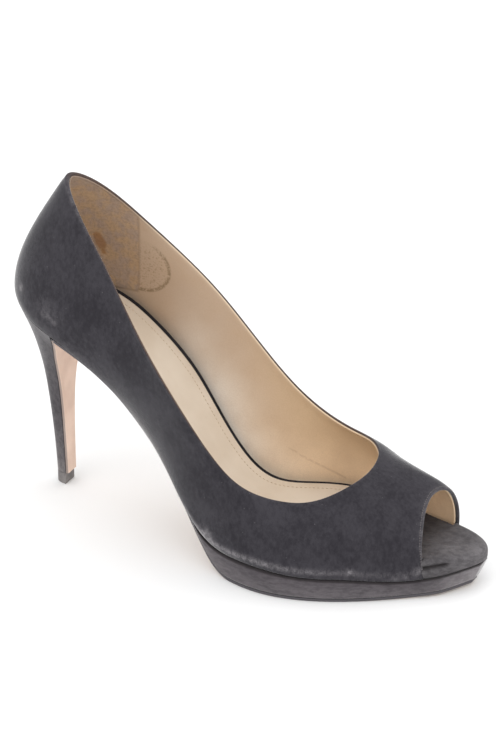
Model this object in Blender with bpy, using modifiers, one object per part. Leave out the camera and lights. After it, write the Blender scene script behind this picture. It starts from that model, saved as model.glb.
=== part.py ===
"""Right-foot platform pump with a peep toe and a slim covered heel.

Tables and sizes are in millimetres and become metres when a mesh is made.
x runs from the heel to the toe, y towards the medial side, z up from the floor.
"""

import bmesh
import bpy
import numpy as np

NAME = "platform_pump"
MM = 0.001
GAP = 0.3
SMOOTH_ANGLE = 40.0

# Thickness of each layer, counted down from the top of the sock.
WALL = 1.8
SOCK = 0.8
INSOLE = 4.2
SEAT_PAD = 3.6
WAIST_PAD = 4.6
BALL_PAD = 2.0
TOE_PAD = 4.4
TIP_THINNING = 1.8
OUTSOLE = 1.5
WAIST_OUTSOLE = 1.4
BREAST_FACING = 1.2
LIFT_HEIGHT = 6.0

# Where pieces end along the foot.
SOCK_FRONT = 188.0
BREAST_LINE = 33.0
PLATFORM_REAR = 106.0
PEEP_LINE = 219.0
SHANK_START = 20.0
SHANK_TANGENT = 98.0
SHANK_END = 130.0
SHANK_TURN = 10.0

# The tread is flat on the floor and lifts towards the toe.
TREAD_END = 188.0
TOE_SPRING = 2.5
SHANK_BLEND = 8.0

# How far pieces stand back from the outline.
FEATHER_INSET = 0.9
WAIST_TUCK = 1.8
INSOLE_PLAY = 0.4
VAMP_PLAY = 0.9
SOCK_RIM = 2.4
LIP = 0.17
OUTSOLE_INSET = 1.1
WAIST_SOLE_INSET = 1.5
PLATFORM_TAPER = 0.3
WEDGE_TUCK = 2.2
TOE_STEP = 0.5
TOE_UNDERCUT = 3.6
HEEL_INSET = 1.2

# Stretches of the foot over which a size changes, from x to x.
SEAT_TO_WAIST = (20.0, 50.0)
WAIST_TO_BALL = (75.0, 105.0)
BALL_TO_TREAD = (120.0, 158.0)
TREAD_TO_TOE = (185.0, 217.0)
TUCK_STARTS = (50.0, 80.0)
TUCK_ENDS = (88.0, 112.0)
VAMP_NARROWS = (180.0, 205.0)
OUTSOLE_THICKENS = (90.0, 120.0)
SOLE_TUCKS = (34.0, 60.0)
SOLE_SPREADS = (104.0, 126.0)
WEDGE_EMERGES = (PLATFORM_REAR, 124.0)
SOCK_RUNS_OUT = (SOCK_FRONT - 8.0, SOCK_FRONT)
TOE_TURNS_UNDER = (222.0, 239.0)
LATERAL_STEP = (PEEP_LINE + 0.5, PEEP_LINE + 1.6)
MEDIAL_STEP = (PEEP_LINE - 1.9, PEEP_LINE - 0.8)

# Outer edge of the last's bottom in plan: x, y, going round from the toe tip by the lateral side.
OUTLINE = (
    ("toe tip", 240.0, 13.5),
    ("lateral toe", 230.0, -2.5),
    ("lateral peep corner", 218.0, -12.0),
    ("lateral small toe", 196.0, -28.0),
    ("lateral forefoot", 174.0, -39.6),
    ("lateral ball", 151.0, -44.0),
    ("lateral ball rear", 130.0, -39.8),
    ("lateral waist front", 110.0, -31.0),
    ("lateral waist", 88.0, -24.5),
    ("lateral seat front", 60.0, -24.0),
    ("lateral seat", 34.0, -23.0),
    ("lateral counter", 11.5, -13.5),
    ("heel back", 3.5, 0.0),
    ("medial counter", 11.5, 13.5),
    ("medial seat", 34.0, 24.5),
    ("medial seat front", 60.0, 27.5),
    ("medial waist", 88.0, 29.0),
    ("medial waist front", 110.0, 23.2),
    ("medial ball rear", 130.0, 25.3),
    ("medial ball", 151.0, 36.7),
    ("medial forefoot", 172.0, 41.5),
    ("medial big toe", 196.0, 36.8),
    ("medial peep corner", 218.0, 30.0),
    ("medial toe", 233.0, 22.5),
)

# Height of the sock along the middle of the foot: x, z.
FOOTBED = (
    ("heel back", 4.0, 107.0),
    ("seat", 25.0, 101.2),
    ("seat front", 45.0, 95.2),
    ("waist rear", 62.0, 84.7),
    ("waist", 80.0, 68.0),
    ("shank", 97.0, 47.5),
    ("shank foot", 111.0, 32.0),
    ("ball rear", 124.0, 22.4),
    ("ball", 141.0, 19.4),
    ("tread", 165.0, 17.6),
    ("toes", 195.0, 17.2),
    ("peep", 218.0, 19.3),
    ("toe tip", 241.0, 22.0),
)

# Sections of the upper's wall, one rib for each row. The foot of a rib is on the outline at edge x,
# its top on the topline. Flare and lean are degrees outward of vertical at the foot and at the top,
# sweep is degrees towards the heel at the foot, and rise and drop are how far the wall keeps its way.
RIB_COLUMNS = ("edge_x", "side", "top_x", "top_y", "top_z", "flare", "sweep", "rise", "lean", "drop")
RIBS = (
    ("lateral peep corner", 219.5, -1, 177.5, -18.5, 47.4, -9, 17, 19, 62, 17),
    ("lateral vamp", 198.0, -1, 171.0, -25.5, 45.6, -2, 7, 17, 55, 13),
    ("lateral ball", 171.0, -1, 161.0, -31.5, 45.2, 4, 0, 13, 42, 10),
    ("lateral ball rear", 144.0, -1, 145.0, -37.5, 48.9, 8, 0, 12, 20, 11),
    ("lateral waist front", 117.0, -1, 128.0, -39.9, 61.2, 20, -8, 13, 0, 12),
    ("lateral waist", 90.0, -1, 106.0, -38.3, 85.5, 30, -10, 16, -8, 14),
    ("lateral waist rear", 62.0, -1, 84.0, -31.5, 108.2, 22, -10, 16, -6, 15),
    ("lateral seat", 36.0, -1, 62.2, -23.2, 134.8, 12, -5, 18, 8, 18),
    ("lateral counter", 15.0, -1, 40.9, -12.9, 155.2, 11.5, 0, 20, 17, 22),
    ("back", 3.5, 0, 29.2, 0.0, 165.1, 13, 0, 20, 30, 21.5),
    ("medial counter", 15.0, 1, 40.5, 12.3, 156.9, 9, 0, 20, 22, 22),
    ("medial seat", 36.0, 1, 61.5, 21.3, 136.6, 10, -5, 18, 8, 18),
    ("medial waist rear", 62.0, 1, 86.0, 29.4, 111.3, 16, -10, 16, -2, 15),
    ("medial waist", 90.0, 1, 106.5, 32.4, 88.9, 22, -10, 16, -2, 14),
    ("medial waist front", 117.0, 1, 126.5, 34.0, 67.8, 28, -8, 14, 2, 12),
    ("medial ball rear", 144.0, 1, 145.0, 33.8, 55.9, 14, 0, 14, 16, 12),
    ("medial ball", 171.0, 1, 161.0, 31.6, 51.9, 4, 0, 16, 40, 12),
    ("medial vamp", 198.0, 1, 172.5, 28.0, 51.6, 3, 8, 17, 55, 12),
    ("medial peep corner", 216.5, 1, 179.0, 22.8, 51.1, 9, 25, 18, 63, 17),
)

# Ribs that start on the edge of the peep opening, from its medial foot over the top. Headings are
# degrees in plan from the toe towards the medial side, at the edge and at the topline.
ARCH_RIB_COLUMNS = ("heading", "top_heading", "top_x", "top_y", "top_z", "flare", "rise", "lean", "drop")
ARCH_RIBS = (
    ("medial arch", -12, 40, 182.4, 16.5, 50.6, -48, 14.5, 72, 12),
    ("arch top", 4, 5, 184.3, 4.5, 49.9, -76, 8, 72, 9.5),
    ("lateral arch", 24, -28, 182.4, -8.5, 49.2, -68, 11, 72, 13),
)
RIB_STEPS = 4
WALL_ROWS = 9

# How far from the medial peep corner, in ribs, the wall goes from a fair curve to following its foot.
CORNER_EASE = (0.9, 1.5)

# Edge of the peep opening between its two feet: x, y, z. The foot points come from the outline.
PEEP_ARCH = (
    ("medial side", 217.3, 29.0, 29.5),
    ("medial shoulder", 215.4, 26.2, 36.3),
    ("top", 212.4, 13.2, 40.7),
    ("lateral shoulder", 215.2, -2.0, 32.2),
    ("lateral side", 218.0, -8.4, 21.5),
)

# Sections of the heel from the lift up: back x, z, breast x, z and half of the width.
HEEL_SECTIONS = (
    ("lift", 20.9, 6.3, 26.9, 6.3, 3.9),
    ("stem", 19.7, 24.0, 26.5, 24.0, 4.4),
    ("stem top", 17.9, 42.0, 26.2, 41.0, 5.3),
    ("neck", 16.2, 56.0, 26.1, 54.0, 6.8),
    ("cup foot", 14.6, 67.0, 26.4, 64.0, 9.2),
    ("cup", 12.4, 78.0, 27.3, 73.5, 12.6),
    ("cup top", 9.6, 88.0, 29.0, 82.0, 16.4),
)
HEEL_SQUARENESS = 0.9
FACING_MARGIN = 0.2
FACING_STOP = 2.4
HEEL_STEPS = 3
HEEL_POINTS = 21

# How many sections each layer has, and how far its round ends stop short of a point.
SOCK_SECTIONS = 44
INSOLE_SECTIONS = 44
STEP_SECTIONS = 7
TOE_SECTIONS = 12
SHANK_SECTIONS = 16
TURN_SECTIONS = 11
WEDGE_SECTIONS = 6
TREAD_SECTIONS = 20
END_ROUNDING = 0.8
AFTER_TURN = 6.0
AFTER_STEP = 0.8
ROUND_END = 0.12

# How finely the curves are sampled.
RIM_SAMPLES = 1200
SHANK_SAMPLES = 200
FOOT_SAMPLES = 1001
FOOT_REACH = 250.0
SLOPE_STEP = 0.2

SUEDE = (0.045, 0.041, 0.044)
BLACK_SUEDE = (0.03, 0.028, 0.03)
NUDE = (0.66, 0.46, 0.37)
BEIGE = (0.68, 0.56, 0.41)
RUBBER = (0.05, 0.05, 0.052)


def spline(knots, rows, closed=False):
    """Cubic of smooth curvature through the rows at rising knots, as a function of the knot value."""
    knots = np.asarray(knots, float)
    rows = np.asarray(rows, float)
    rows = rows.reshape(len(rows), -1)
    step = np.diff(knots)
    last = len(step)
    slope = np.diff(rows, axis=0) / step[:, None]
    matrix = np.zeros((last + 1, last + 1))
    right = np.zeros_like(rows)
    for i in range(1, last):
        matrix[i, i - 1 : i + 2] = step[i - 1], 2 * (step[i - 1] + step[i]), step[i]
        right[i] = 6 * (slope[i] - slope[i - 1])
    matrix[0, 0] = 1
    if closed:
        matrix[0, last] = -1
        matrix[last, :2] = 2 * step[0], step[0]
        matrix[last, last - 1 :] += step[-1], 2 * step[-1]
        right[last] = 6 * (slope[0] - slope[-1])
    else:
        matrix[last, last] = 1
    bend = np.linalg.solve(matrix, right)

    def at(where):
        where = np.atleast_1d(np.asarray(where, float))
        i = np.clip(np.searchsorted(knots, where, "right") - 1, 0, last - 1)
        h = step[i][:, None]
        a = (knots[i + 1] - where)[:, None] / h
        b = 1 - a
        curve = (a**3 - a) * bend[i] + (b**3 - b) * bend[i + 1]
        return a * rows[i] + b * rows[i + 1] + curve * h * h / 6

    return at


def smoothstep(stretch, value):
    """0 before the stretch, 1 after it, and a soft step between."""
    low, high = stretch
    t = np.clip((np.asarray(value, float) - low) / (high - low), 0, 1)
    return t * t * (3 - 2 * t)


def chords(points):
    """Running length along a row of points, from 0."""
    return np.concatenate([[0], np.cumsum(np.linalg.norm(np.diff(points, axis=0), axis=1))])


# Plan of the last: one closed curve, sampled, with its outward direction.
OUTLINE_XY = np.array([row[1:] for row in OUTLINE + OUTLINE[:1]])
OUTLINE_KNOTS = chords(OUTLINE_XY)
OUTLINE_AT = spline(OUTLINE_KNOTS, OUTLINE_XY, closed=True)
RIM_W = np.linspace(0, OUTLINE_KNOTS[-1], RIM_SAMPLES, endpoint=False)
RIM = OUTLINE_AT(RIM_W)
RIM_OUT = np.roll(RIM, -1, axis=0) - np.roll(RIM, 1, axis=0)
RIM_OUT = np.stack([-RIM_OUT[:, 1], RIM_OUT[:, 0]], axis=1)
RIM_OUT /= np.linalg.norm(RIM_OUT, axis=1)[:, None]
BACK_I = int(RIM[:, 0].argmin())

UP = np.array([0.0, 0.0, 1.0])
BED_AT = spline([row[1] for row in FOOTBED], [row[2] for row in FOOTBED])


def bed_frame(x):
    """Height of the sock at x, and its upward direction in the plane of the foot."""
    x = np.atleast_1d(np.asarray(x, float))
    z = BED_AT(x)[:, 0]
    slope = (BED_AT(x + SLOPE_STEP) - BED_AT(x - SLOPE_STEP))[:, 0] / (2 * SLOPE_STEP)
    up = np.stack([-slope, np.ones_like(slope)], axis=1)
    return z, up / np.linalg.norm(up, axis=1)[:, None]


def bed(x, y, depth):
    """Points at the given depth below the sock, measured square to it."""
    z, up = bed_frame(x)
    y = np.broadcast_to(np.asarray(y, float), z.shape)
    depth = np.broadcast_to(np.asarray(depth, float), z.shape)
    return np.stack([x - depth * up[:, 0], y, z - depth * up[:, 1]], axis=1)


def insole_under(x):
    """Depth of the insole's underside below the sock: padded from the heel to the ball, and behind the toe
    tip."""
    pad = SEAT_PAD + (WAIST_PAD - SEAT_PAD) * smoothstep(SEAT_TO_WAIST, x)
    pad += (BALL_PAD - WAIST_PAD) * smoothstep(WAIST_TO_BALL, x) - BALL_PAD * smoothstep(BALL_TO_TREAD, x)
    pad += TOE_PAD * smoothstep(TREAD_TO_TOE, x) - TIP_THINNING * smoothstep(TOE_TURNS_UNDER, x)
    return SOCK + INSOLE + pad


def feather_inset(x):
    """How far the lower edge of the upper stands in from the outline: it turns under at the waist."""
    return FEATHER_INSET + WAIST_TUCK * smoothstep(TUCK_STARTS, x) * (1 - smoothstep(TUCK_ENDS, x))


def edges(inset):
    """Lateral and medial edge of the outline moved in by inset, as functions of x, and the end points."""
    rim = RIM - RIM_OUT * np.broadcast_to(inset, len(RIM))[:, None]
    order = np.roll(np.arange(len(rim)), -int(rim[:, 0].argmax()))
    rim = rim[order]
    back = int(rim[:, 0].argmin())
    lateral = rim[: back + 1][::-1]
    medial = np.concatenate([rim[back:], rim[:1]])

    def lateral_y(x):
        return np.interp(x, lateral[:, 0], lateral[:, 1])

    def medial_y(x):
        return np.interp(x, medial[:, 0], medial[:, 1])

    return lateral_y, medial_y, rim[back, 0], rim[0, 0]


def stations(start, end, count, round_start=False, round_end=False):
    """Places along the foot, closer together towards an end that is round in plan."""
    t = np.linspace(0, 1, count)
    if round_end:
        t = np.sin(np.pi / 2 * t)
    elif round_start:
        t = 1 - np.cos(np.pi / 2 * t)
    return start + (end - start) * t


def loft(name, rings, material):
    """A closed solid through rings of equal size, each listed down one side and back up the other."""
    mesh = bpy.data.meshes.new(name)
    shape = bmesh.new()
    rows = [[shape.verts.new(tuple(point * MM)) for point in ring] for ring in rings]
    count = len(rows[0])
    for low, high in zip(rows, rows[1:]):
        for i in range(count):
            j = (i + 1) % count
            shape.faces.new((low[i], low[j], high[j], high[i]))
    for ring in (rows[0], rows[-1]):
        for i in range((count - 1) // 2):
            ends = (ring[i], ring[i + 1], ring[count - 2 - i], ring[count - 1 - i])
            shape.faces.new(tuple(dict.fromkeys(ends)))
    bmesh.ops.recalc_face_normals(shape, faces=shape.faces)
    shape.to_mesh(mesh)
    shape.free()
    return add_part(name, mesh, material)


def add_part(name, mesh, material):
    mesh.materials.append(material)
    mesh.shade_smooth()
    mesh.set_sharp_from_angle(angle=np.radians(SMOOTH_ANGLE))
    part = bpy.data.objects.new(name, mesh)
    PARTS.objects.link(part)
    part.parent = ROOT
    return part


def make_material(name, colour, roughness):
    material = bpy.data.materials.new(name)
    material.use_nodes = True
    shader = material.node_tree.nodes["Principled BSDF"]
    shader.inputs["Base Color"].default_value = (*colour, 1)
    shader.inputs["Roughness"].default_value = roughness
    shader.inputs["Metallic"].default_value = 0
    return material


def layer(name, tops, bottoms, profiles, material):
    """Loft across the foot between two edges. Tops and bottoms hold the lateral and medial points of each
    section; its profile rows give the set-back from the edge and the share of the depth, from below up."""
    rings = []
    for (top_low, top_high), (foot_low, foot_high), profile in zip(tops, bottoms, profiles):
        half = (top_high[1] - top_low[1]) / 2
        deepest = max(set_back for set_back, _ in profile)
        narrow = min(1, half * END_ROUNDING / deepest)
        lateral = []
        medial = []
        for set_back, share in profile:
            inward = np.array([0, set_back * narrow, 0])
            lateral.append(top_low * (1 - share) + foot_low * share + inward)
            medial.append(top_high * (1 - share) + foot_high * share - inward)
        rings.append(np.concatenate([lateral, medial[::-1]]))
    return loft(name, rings, material)


def sheet(xs, low, high, place, station=None):
    """Lateral and medial points of a surface at xs. Station gives the x at which the edges are read."""
    at = xs if station is None else station(xs)
    return [(place(x, low(edge)), place(x, high(edge))) for x, edge in zip(xs, at)]


SQUARE_EDGE = ((0.3, 1.0), (0.0, 0.85), (0.0, 0.15), (0.3, 0.0))


def lipped_edge(lip):
    """Rounded edge whose top stands up round the sock where lip is 1."""
    rise = LIP * lip
    return ((0.8, 1.0), (0.1, 0.8), (0.0, 0.45), (0.2, 0.15 - rise), (0.8, -rise), (1.3, -rise), (1.7, 0.0))


def under_sock(depth):
    return lambda x, y: bed(x, y, depth(x) if callable(depth) else depth)[0]


def make_sock():
    low, high, back, _ = edges(feather_inset(RIM[:, 0]) + WALL + INSOLE_PLAY + SOCK_RIM)
    xs = stations(back + ROUND_END, SOCK_FRONT, SOCK_SECTIONS, round_start=True)
    top = sheet(xs, low, high, under_sock(0))
    bottom = sheet(xs, low, high, under_sock(SOCK - GAP / 2))
    return layer("sock", top, bottom, [SQUARE_EDGE] * len(xs), material_of["sock"])


def make_insole():
    """The insole sits inside the wall, and in front of the peep opening it covers the platform."""
    inset = feather_inset(RIM[:, 0]) + WALL + INSOLE_PLAY
    _, high_in, back, _ = edges(inset)
    low_in, _, _, _ = edges(inset + VAMP_PLAY * smoothstep(VAMP_NARROWS, RIM[:, 0]))
    low_out, high_out, _, front = edges(GAP)

    def low(x):
        return low_in(x) + (low_out(x) - low_in(x)) * smoothstep(LATERAL_STEP, x)

    def high(x):
        return high_in(x) + (high_out(x) - high_in(x)) * smoothstep(MEDIAL_STEP, x)

    inside = stations(back + ROUND_END, MEDIAL_STEP[0] - AFTER_STEP, INSOLE_SECTIONS, round_start=True)
    step = np.linspace(MEDIAL_STEP[0], LATERAL_STEP[1], STEP_SECTIONS)
    toe = stations(LATERAL_STEP[1] + AFTER_STEP, front - ROUND_END, TOE_SECTIONS, round_end=True)
    xs = np.concatenate([inside, step, toe])
    profiles = [lipped_edge(1 - smoothstep(SOCK_RUNS_OUT, x)) for x in xs]
    top = sheet(xs, low, high, under_sock(SOCK + GAP / 2))
    bottom = sheet(xs, low, high, under_sock(insole_under))
    return layer("insole", top, bottom, profiles, material_of["insole"])


def outsole_depth(x):
    """Thickness of the outsole: thin at the waist, full under the forefoot."""
    return WAIST_OUTSOLE + (OUTSOLE - WAIST_OUTSOLE) * smoothstep(OUTSOLE_THICKENS, x)


# Underside of the insole along the foot, and the footbed place that each of its points belongs to.
ALONG = np.linspace(0, FOOT_REACH, FOOT_SAMPLES)
UNDERSIDE = bed(ALONG, 0, insole_under(ALONG) + GAP)


def place_above(x):
    return np.interp(x, UNDERSIDE[:, 0], ALONG)


def shank_line(x):
    """Underside of the sole: square below the footbed to the shank's tangent, then straight down."""
    along = np.linspace(SHANK_START, SHANK_TANGENT, SHANK_SAMPLES)
    under = bed(along, 0, insole_under(along) + GAP + outsole_depth(along))
    slope = (under[-1, 2] - under[-2, 2]) / (under[-1, 0] - under[-2, 0])
    straight = under[-1, 2] + slope * (x - under[-1, 0])
    return np.where(x > under[-1, 0], straight, np.interp(x, under[:, 0], under[:, 2]))


def tread_line(x):
    toe = OUTLINE[0][1]
    return TOE_SPRING * (np.clip(x - TREAD_END, 0, None) / (toe - TREAD_END)) ** 2


def sole_bottom(x):
    """Underside of the outsole: shank and tread, blended where they meet."""
    x = np.asarray(x, float)
    shank = shank_line(x)
    tread = tread_line(x)
    near = np.clip(SHANK_BLEND - np.abs(shank - tread), 0, None) / SHANK_BLEND
    return np.maximum(shank, tread) + near * near * SHANK_BLEND / 4


def sole_point(x, y, height):
    """Point above the underside at x, measured square to it."""
    slope = float(sole_bottom(x + SLOPE_STEP) - sole_bottom(x - SLOPE_STEP)) / (2 * SLOPE_STEP)
    up = np.array([-slope, 1.0]) / np.hypot(slope, 1)
    return np.array([x + height * up[0], y, float(sole_bottom(x)) + height * up[1]])


def toe_step(x):
    return TOE_STEP * smoothstep(TOE_TURNS_UNDER, x)


def toe_undercut(x):
    return TOE_UNDERCUT * smoothstep(TOE_TURNS_UNDER, x)


def platform_inset():
    """The platform comes out from under the upper on the shank, and stands back a little at the toe."""
    x = RIM[:, 0]
    tuck = feather_inset(x) - FEATHER_INSET + WEDGE_TUCK * (1 - smoothstep(WEDGE_EMERGES, x))
    return tuck + toe_step(x)


def sole_inset():
    x = RIM[:, 0]
    under_platform = smoothstep(SOLE_SPREADS, x)
    waist = feather_inset(x) + WAIST_SOLE_INSET * smoothstep(SOLE_TUCKS, x)
    return waist + (OUTSOLE_INSET - waist) * under_platform + toe_step(x) + toe_undercut(x)


def sole_stations(start, count, front):
    """Stations of a sole from the shank to the toe, closer together where the shank turns into the tread."""
    turn = np.linspace(SHANK_END - SHANK_TURN, SHANK_END + SHANK_TURN, TURN_SECTIONS)
    shank = np.linspace(start, turn[0], count, endpoint=False)
    tread = stations(turn[-1] + AFTER_TURN, front - ROUND_END, TREAD_SECTIONS, round_end=True)
    return np.concatenate([shank, turn, tread])


def make_outsole():
    low, high, _, front = edges(sole_inset())
    xs = sole_stations(BREAST_LINE + GAP, SHANK_SECTIONS, front)

    def on_upper_side(x, y):
        return sole_point(x, y, float(outsole_depth(x)))

    def on_floor_side(x, y):
        return sole_point(x, y, 0)

    top = sheet(xs, low, high, on_upper_side, place_above)
    bottom = sheet(xs, low, high, on_floor_side, place_above)
    return layer("outsole", top, bottom, [SQUARE_EDGE] * len(xs), material_of["outsole"])


def make_platform():
    """Block between insole and outsole. Its foot stands in from its top, most of all at the toe."""
    low, high, _, front = edges(platform_inset())
    foot_low, foot_high, _, foot_front = edges(platform_inset() + PLATFORM_TAPER + toe_undercut(RIM[:, 0]))
    floor = np.array([sole_point(x, 0, float(outsole_depth(x)) + GAP) for x in ALONG])

    def under_insole(x, y):
        return np.array([x, y, np.interp(x, UNDERSIDE[:, 0], UNDERSIDE[:, 2])])

    def over_outsole(x, y):
        return np.array([x, y, np.interp(x, floor[:, 0], floor[:, 2])])

    xs = sole_stations(PLATFORM_REAR, WEDGE_SECTIONS, front)
    foot_xs = sole_stations(PLATFORM_REAR, WEDGE_SECTIONS, foot_front)
    top = sheet(xs, low, high, under_insole, place_above)
    bottom = sheet(foot_xs, foot_low, foot_high, over_outsole, place_above)
    return layer("platform", top, bottom, [SQUARE_EDGE] * len(xs), material_of["platform"])


def rim_place(x, side):
    """Running length along the outline at x on the lateral or medial side, counted from the toe tip."""
    if side == 0:
        return RIM_W[BACK_I]
    if side < 0:
        return np.interp(-x, -RIM[: BACK_I + 1, 0], RIM_W[: BACK_I + 1])
    return np.interp(x, RIM[BACK_I:, 0], RIM_W[BACK_I:])


def feather(w):
    """Lower edge of the upper at running lengths w of the outline, and the outward direction there."""
    xy = OUTLINE_AT(w)
    out = np.stack([np.interp(w, RIM_W, RIM_OUT[:, k]) for k in (0, 1)], axis=1)
    out /= np.linalg.norm(out, axis=1)[:, None]
    xy = xy - out * feather_inset(xy[:, 0])[:, None]
    level = np.zeros((len(out), 1))
    return bed(xy[:, 0], xy[:, 1], insole_under(xy[:, 0])), np.concatenate([out, level], axis=1)


def upper_ribs():
    """Rib rows as arrays: place on the outline, the arch's curve, topline points and the pull at each end."""
    rows = [dict(zip(RIB_COLUMNS, row[1:])) for row in RIBS]
    arch_rows = [dict(zip(ARCH_RIB_COLUMNS, row[1:])) for row in ARCH_RIBS]
    places = [rim_place(row["edge_x"], row["side"]) for row in rows]
    foot, out = feather(np.array(places))
    corners = np.array([foot[-1], *[row[1:] for row in PEEP_ARCH], foot[0]])
    arch = spline(chords(corners) / chords(corners)[-1], corners)
    tops = np.array([[row["top_x"], row["top_y"], row["top_z"]] for row in rows + arch_rows])
    springs = []
    falls = []
    for row, way in zip(rows, out):
        sweep = np.radians(row["sweep"])
        climb = np.sin(sweep) * towards_heel(way) + np.cos(sweep) * UP
        springs.append(row["rise"] * tilted(way, climb, row["flare"]))
        falls.append(row["drop"] * tilted(way, -UP, row["lean"]))
    for row in arch_rows:
        springs.append(row["rise"] * tilted(compass(row["heading"]), UP, row["flare"]))
        falls.append(row["drop"] * tilted(compass(row["top_heading"]), -UP, row["lean"]))
    return places, arch, tops, np.array(springs), np.array(falls)


def tilted(out, upright, degrees):
    """Direction that leans from upright towards out."""
    angle = np.radians(degrees)
    return np.sin(angle) * out + np.cos(angle) * upright


def towards_heel(out):
    """Direction along the outline, square to out, that points to the heel."""
    along = np.array([out[1], -out[0], 0.0])
    return along if along[0] < 0 else -along


def compass(degrees):
    angle = np.radians(degrees)
    return np.array([np.cos(angle), np.sin(angle), 0.0])


def closed_by_rib(values):
    values = np.concatenate([values, values[:1]])
    return spline(np.arange(len(values)), values, closed=True)


def upper_surface(steps, row_count):
    """Grid of points on the outside of the upper: columns round the shoe, rows from edge to topline."""
    places, arch, tops, springs, falls = upper_ribs()
    u = np.arange(len(tops) * steps) / steps
    last = len(places) - 1
    on_sole = u <= last
    foot = np.empty((len(u), 3))
    w = spline(np.arange(len(places)), places)(u[on_sole])[:, 0]
    foot[on_sole] = feather(w)[0]
    foot[~on_sole] = arch((u[~on_sole] - last) / (len(tops) - last))
    top = closed_by_rib(tops)(u)
    low = foot + closed_by_rib(springs)(u)
    fair = closed_by_rib(low[::steps])(u)
    near_corner = 1 - smoothstep(CORNER_EASE, np.abs(u - last))
    low += near_corner[:, None] * (fair - low)
    high = top + closed_by_rib(falls)(u)
    v = np.linspace(0, 1, row_count)[:, None, None]
    return (1 - v) ** 3 * foot + 3 * v * (1 - v) ** 2 * low + 3 * v * v * (1 - v) * high + v**3 * top


def make_upper():
    grid = upper_surface(RIB_STEPS, WALL_ROWS)
    mesh = bpy.data.meshes.new("upper")
    shape = bmesh.new()
    rows = [[shape.verts.new(tuple(point * MM)) for point in row] for row in grid]
    count = len(rows[0])
    for low, high in zip(rows, rows[1:]):
        for i in range(count):
            j = (i + 1) % count
            shape.faces.new((low[i], high[i], high[j], low[j]))
    shape.to_mesh(mesh)
    shape.free()
    part = add_part("upper", mesh, material_of["upper"])
    wall = part.modifiers.new("wall", "SOLIDIFY")
    wall.thickness = WALL * MM
    wall.offset = -1
    wall.use_even_offset = False
    wall.use_quality_normals = True
    return part


def heel_rings():
    """Rings of the heel from the lift to the seat, each from the lateral breast corner round the back."""
    turn = np.linspace(-np.pi / 2, np.pi / 2, HEEL_POINTS)
    back = np.cos(turn) ** HEEL_SQUARENESS
    across = np.sign(turn) * np.abs(np.sin(turn)) ** HEEL_SQUARENESS
    keys = []
    for _, back_x, back_z, breast_x, breast_z, half in HEEL_SECTIONS:
        x = breast_x + (back_x - breast_x) * back
        z = breast_z + (back_z - breast_z) * back
        keys.append(np.stack([x, half * across, z], axis=1))
    low, high, rear, _ = edges(HEEL_INSET)
    x = BREAST_LINE + (rear + ROUND_END - BREAST_LINE) * np.cos(turn)
    y = np.where(turn < 0, low(x), high(x))
    keys.append(bed(x, y, insole_under(x) + GAP))
    keys = np.array(keys)
    path = spline(np.arange(len(keys)), keys)
    t = np.linspace(0, len(keys) - 1, (len(keys) - 1) * HEEL_STEPS + 1)
    return path(t).reshape(len(t), HEEL_POINTS, 3)


def make_heel():
    return loft("heel", heel_rings(), material_of["heel"])


def make_heel_breast():
    """Facing that follows the front of the heel from the lift and stops under the end of the outsole."""
    rings = heel_rings()
    middle = (rings[:, 0] + rings[:, -1]) / 2
    half = (rings[:, -1, 1] - rings[:, 0, 1]) / 2 - FACING_MARGIN
    run = chords(middle)
    along = run * (1 - FACING_STOP / run[-1])
    half = np.interp(along, run, half)
    middle = np.stack([np.interp(along, run, middle[:, k]) for k in range(3)], axis=1)
    way = np.gradient(middle, axis=0)
    ahead = np.stack([way[:, 2], 0 * half, -way[:, 0]], axis=1)
    ahead /= np.linalg.norm(ahead, axis=1)[:, None]
    side = np.array([0.0, 1.0, 0.0])
    near = middle + ahead * GAP
    far = near + ahead * BREAST_FACING
    facing = []
    for back, front, reach in zip(near, far, half):
        facing.append([back - side * reach, front - side * reach, front + side * reach, back + side * reach])
    return loft("heel_breast", np.array(facing), material_of["heel_breast"])


def make_top_lift():
    ring = heel_rings()[0]
    top = ring.copy()
    top[:, 2] = LIFT_HEIGHT
    foot = ring.copy()
    foot[:, 2] = 0
    return loft("top_lift", [foot, top], material_of["top_lift"])


def stand_on_origin():
    """Moves the shoe so that the origin is below the middle of its box, on the floor."""
    bpy.context.view_layer.update()
    corners = []
    for part in PARTS.objects:
        if part.type == "MESH":
            corners += [list(corner) for corner in part.bound_box]
    corners = np.array(corners)
    middle = (corners.min(axis=0) + corners.max(axis=0)) / 2
    ROOT.location = (-middle[0], -middle[1], -corners[:, 2].min())


for thing in list(bpy.data.objects):
    bpy.data.objects.remove(thing, do_unlink=True)
PARTS = bpy.data.collections.new(NAME)
bpy.context.scene.collection.children.link(PARTS)
ROOT = bpy.data.objects.new("shoe_root", None)
PARTS.objects.link(ROOT)

material_of = {
    "outsole": make_material("sole leather", NUDE, 0.55),
    "platform": make_material("platform suede", SUEDE, 0.95),
    "insole": make_material("insole suede", BLACK_SUEDE, 0.95),
    "sock": make_material("sock leather", BEIGE, 0.6),
    "upper": make_material("upper suede", SUEDE, 0.95),
    "heel": make_material("heel suede", SUEDE, 0.95),
    "heel_breast": make_material("nude leather", NUDE, 0.5),
    "top_lift": make_material("lift rubber", RUBBER, 0.6),
}

make_outsole()
make_platform()
make_insole()
make_sock()
make_upper()
make_heel()
make_heel_breast()
make_top_lift()
stand_on_origin()
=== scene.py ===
"""Looks of a right-foot platform pump in charcoal suede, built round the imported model.

Shapes are worked out in millimetres in the part's own drawing frame (x from heel to toe, y towards
the medial side, z up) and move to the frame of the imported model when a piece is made.
"""

import bmesh
import bpy
import numpy as np
from mathutils import Matrix, Vector
from mathutils.bvhtree import BVHTree


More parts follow.
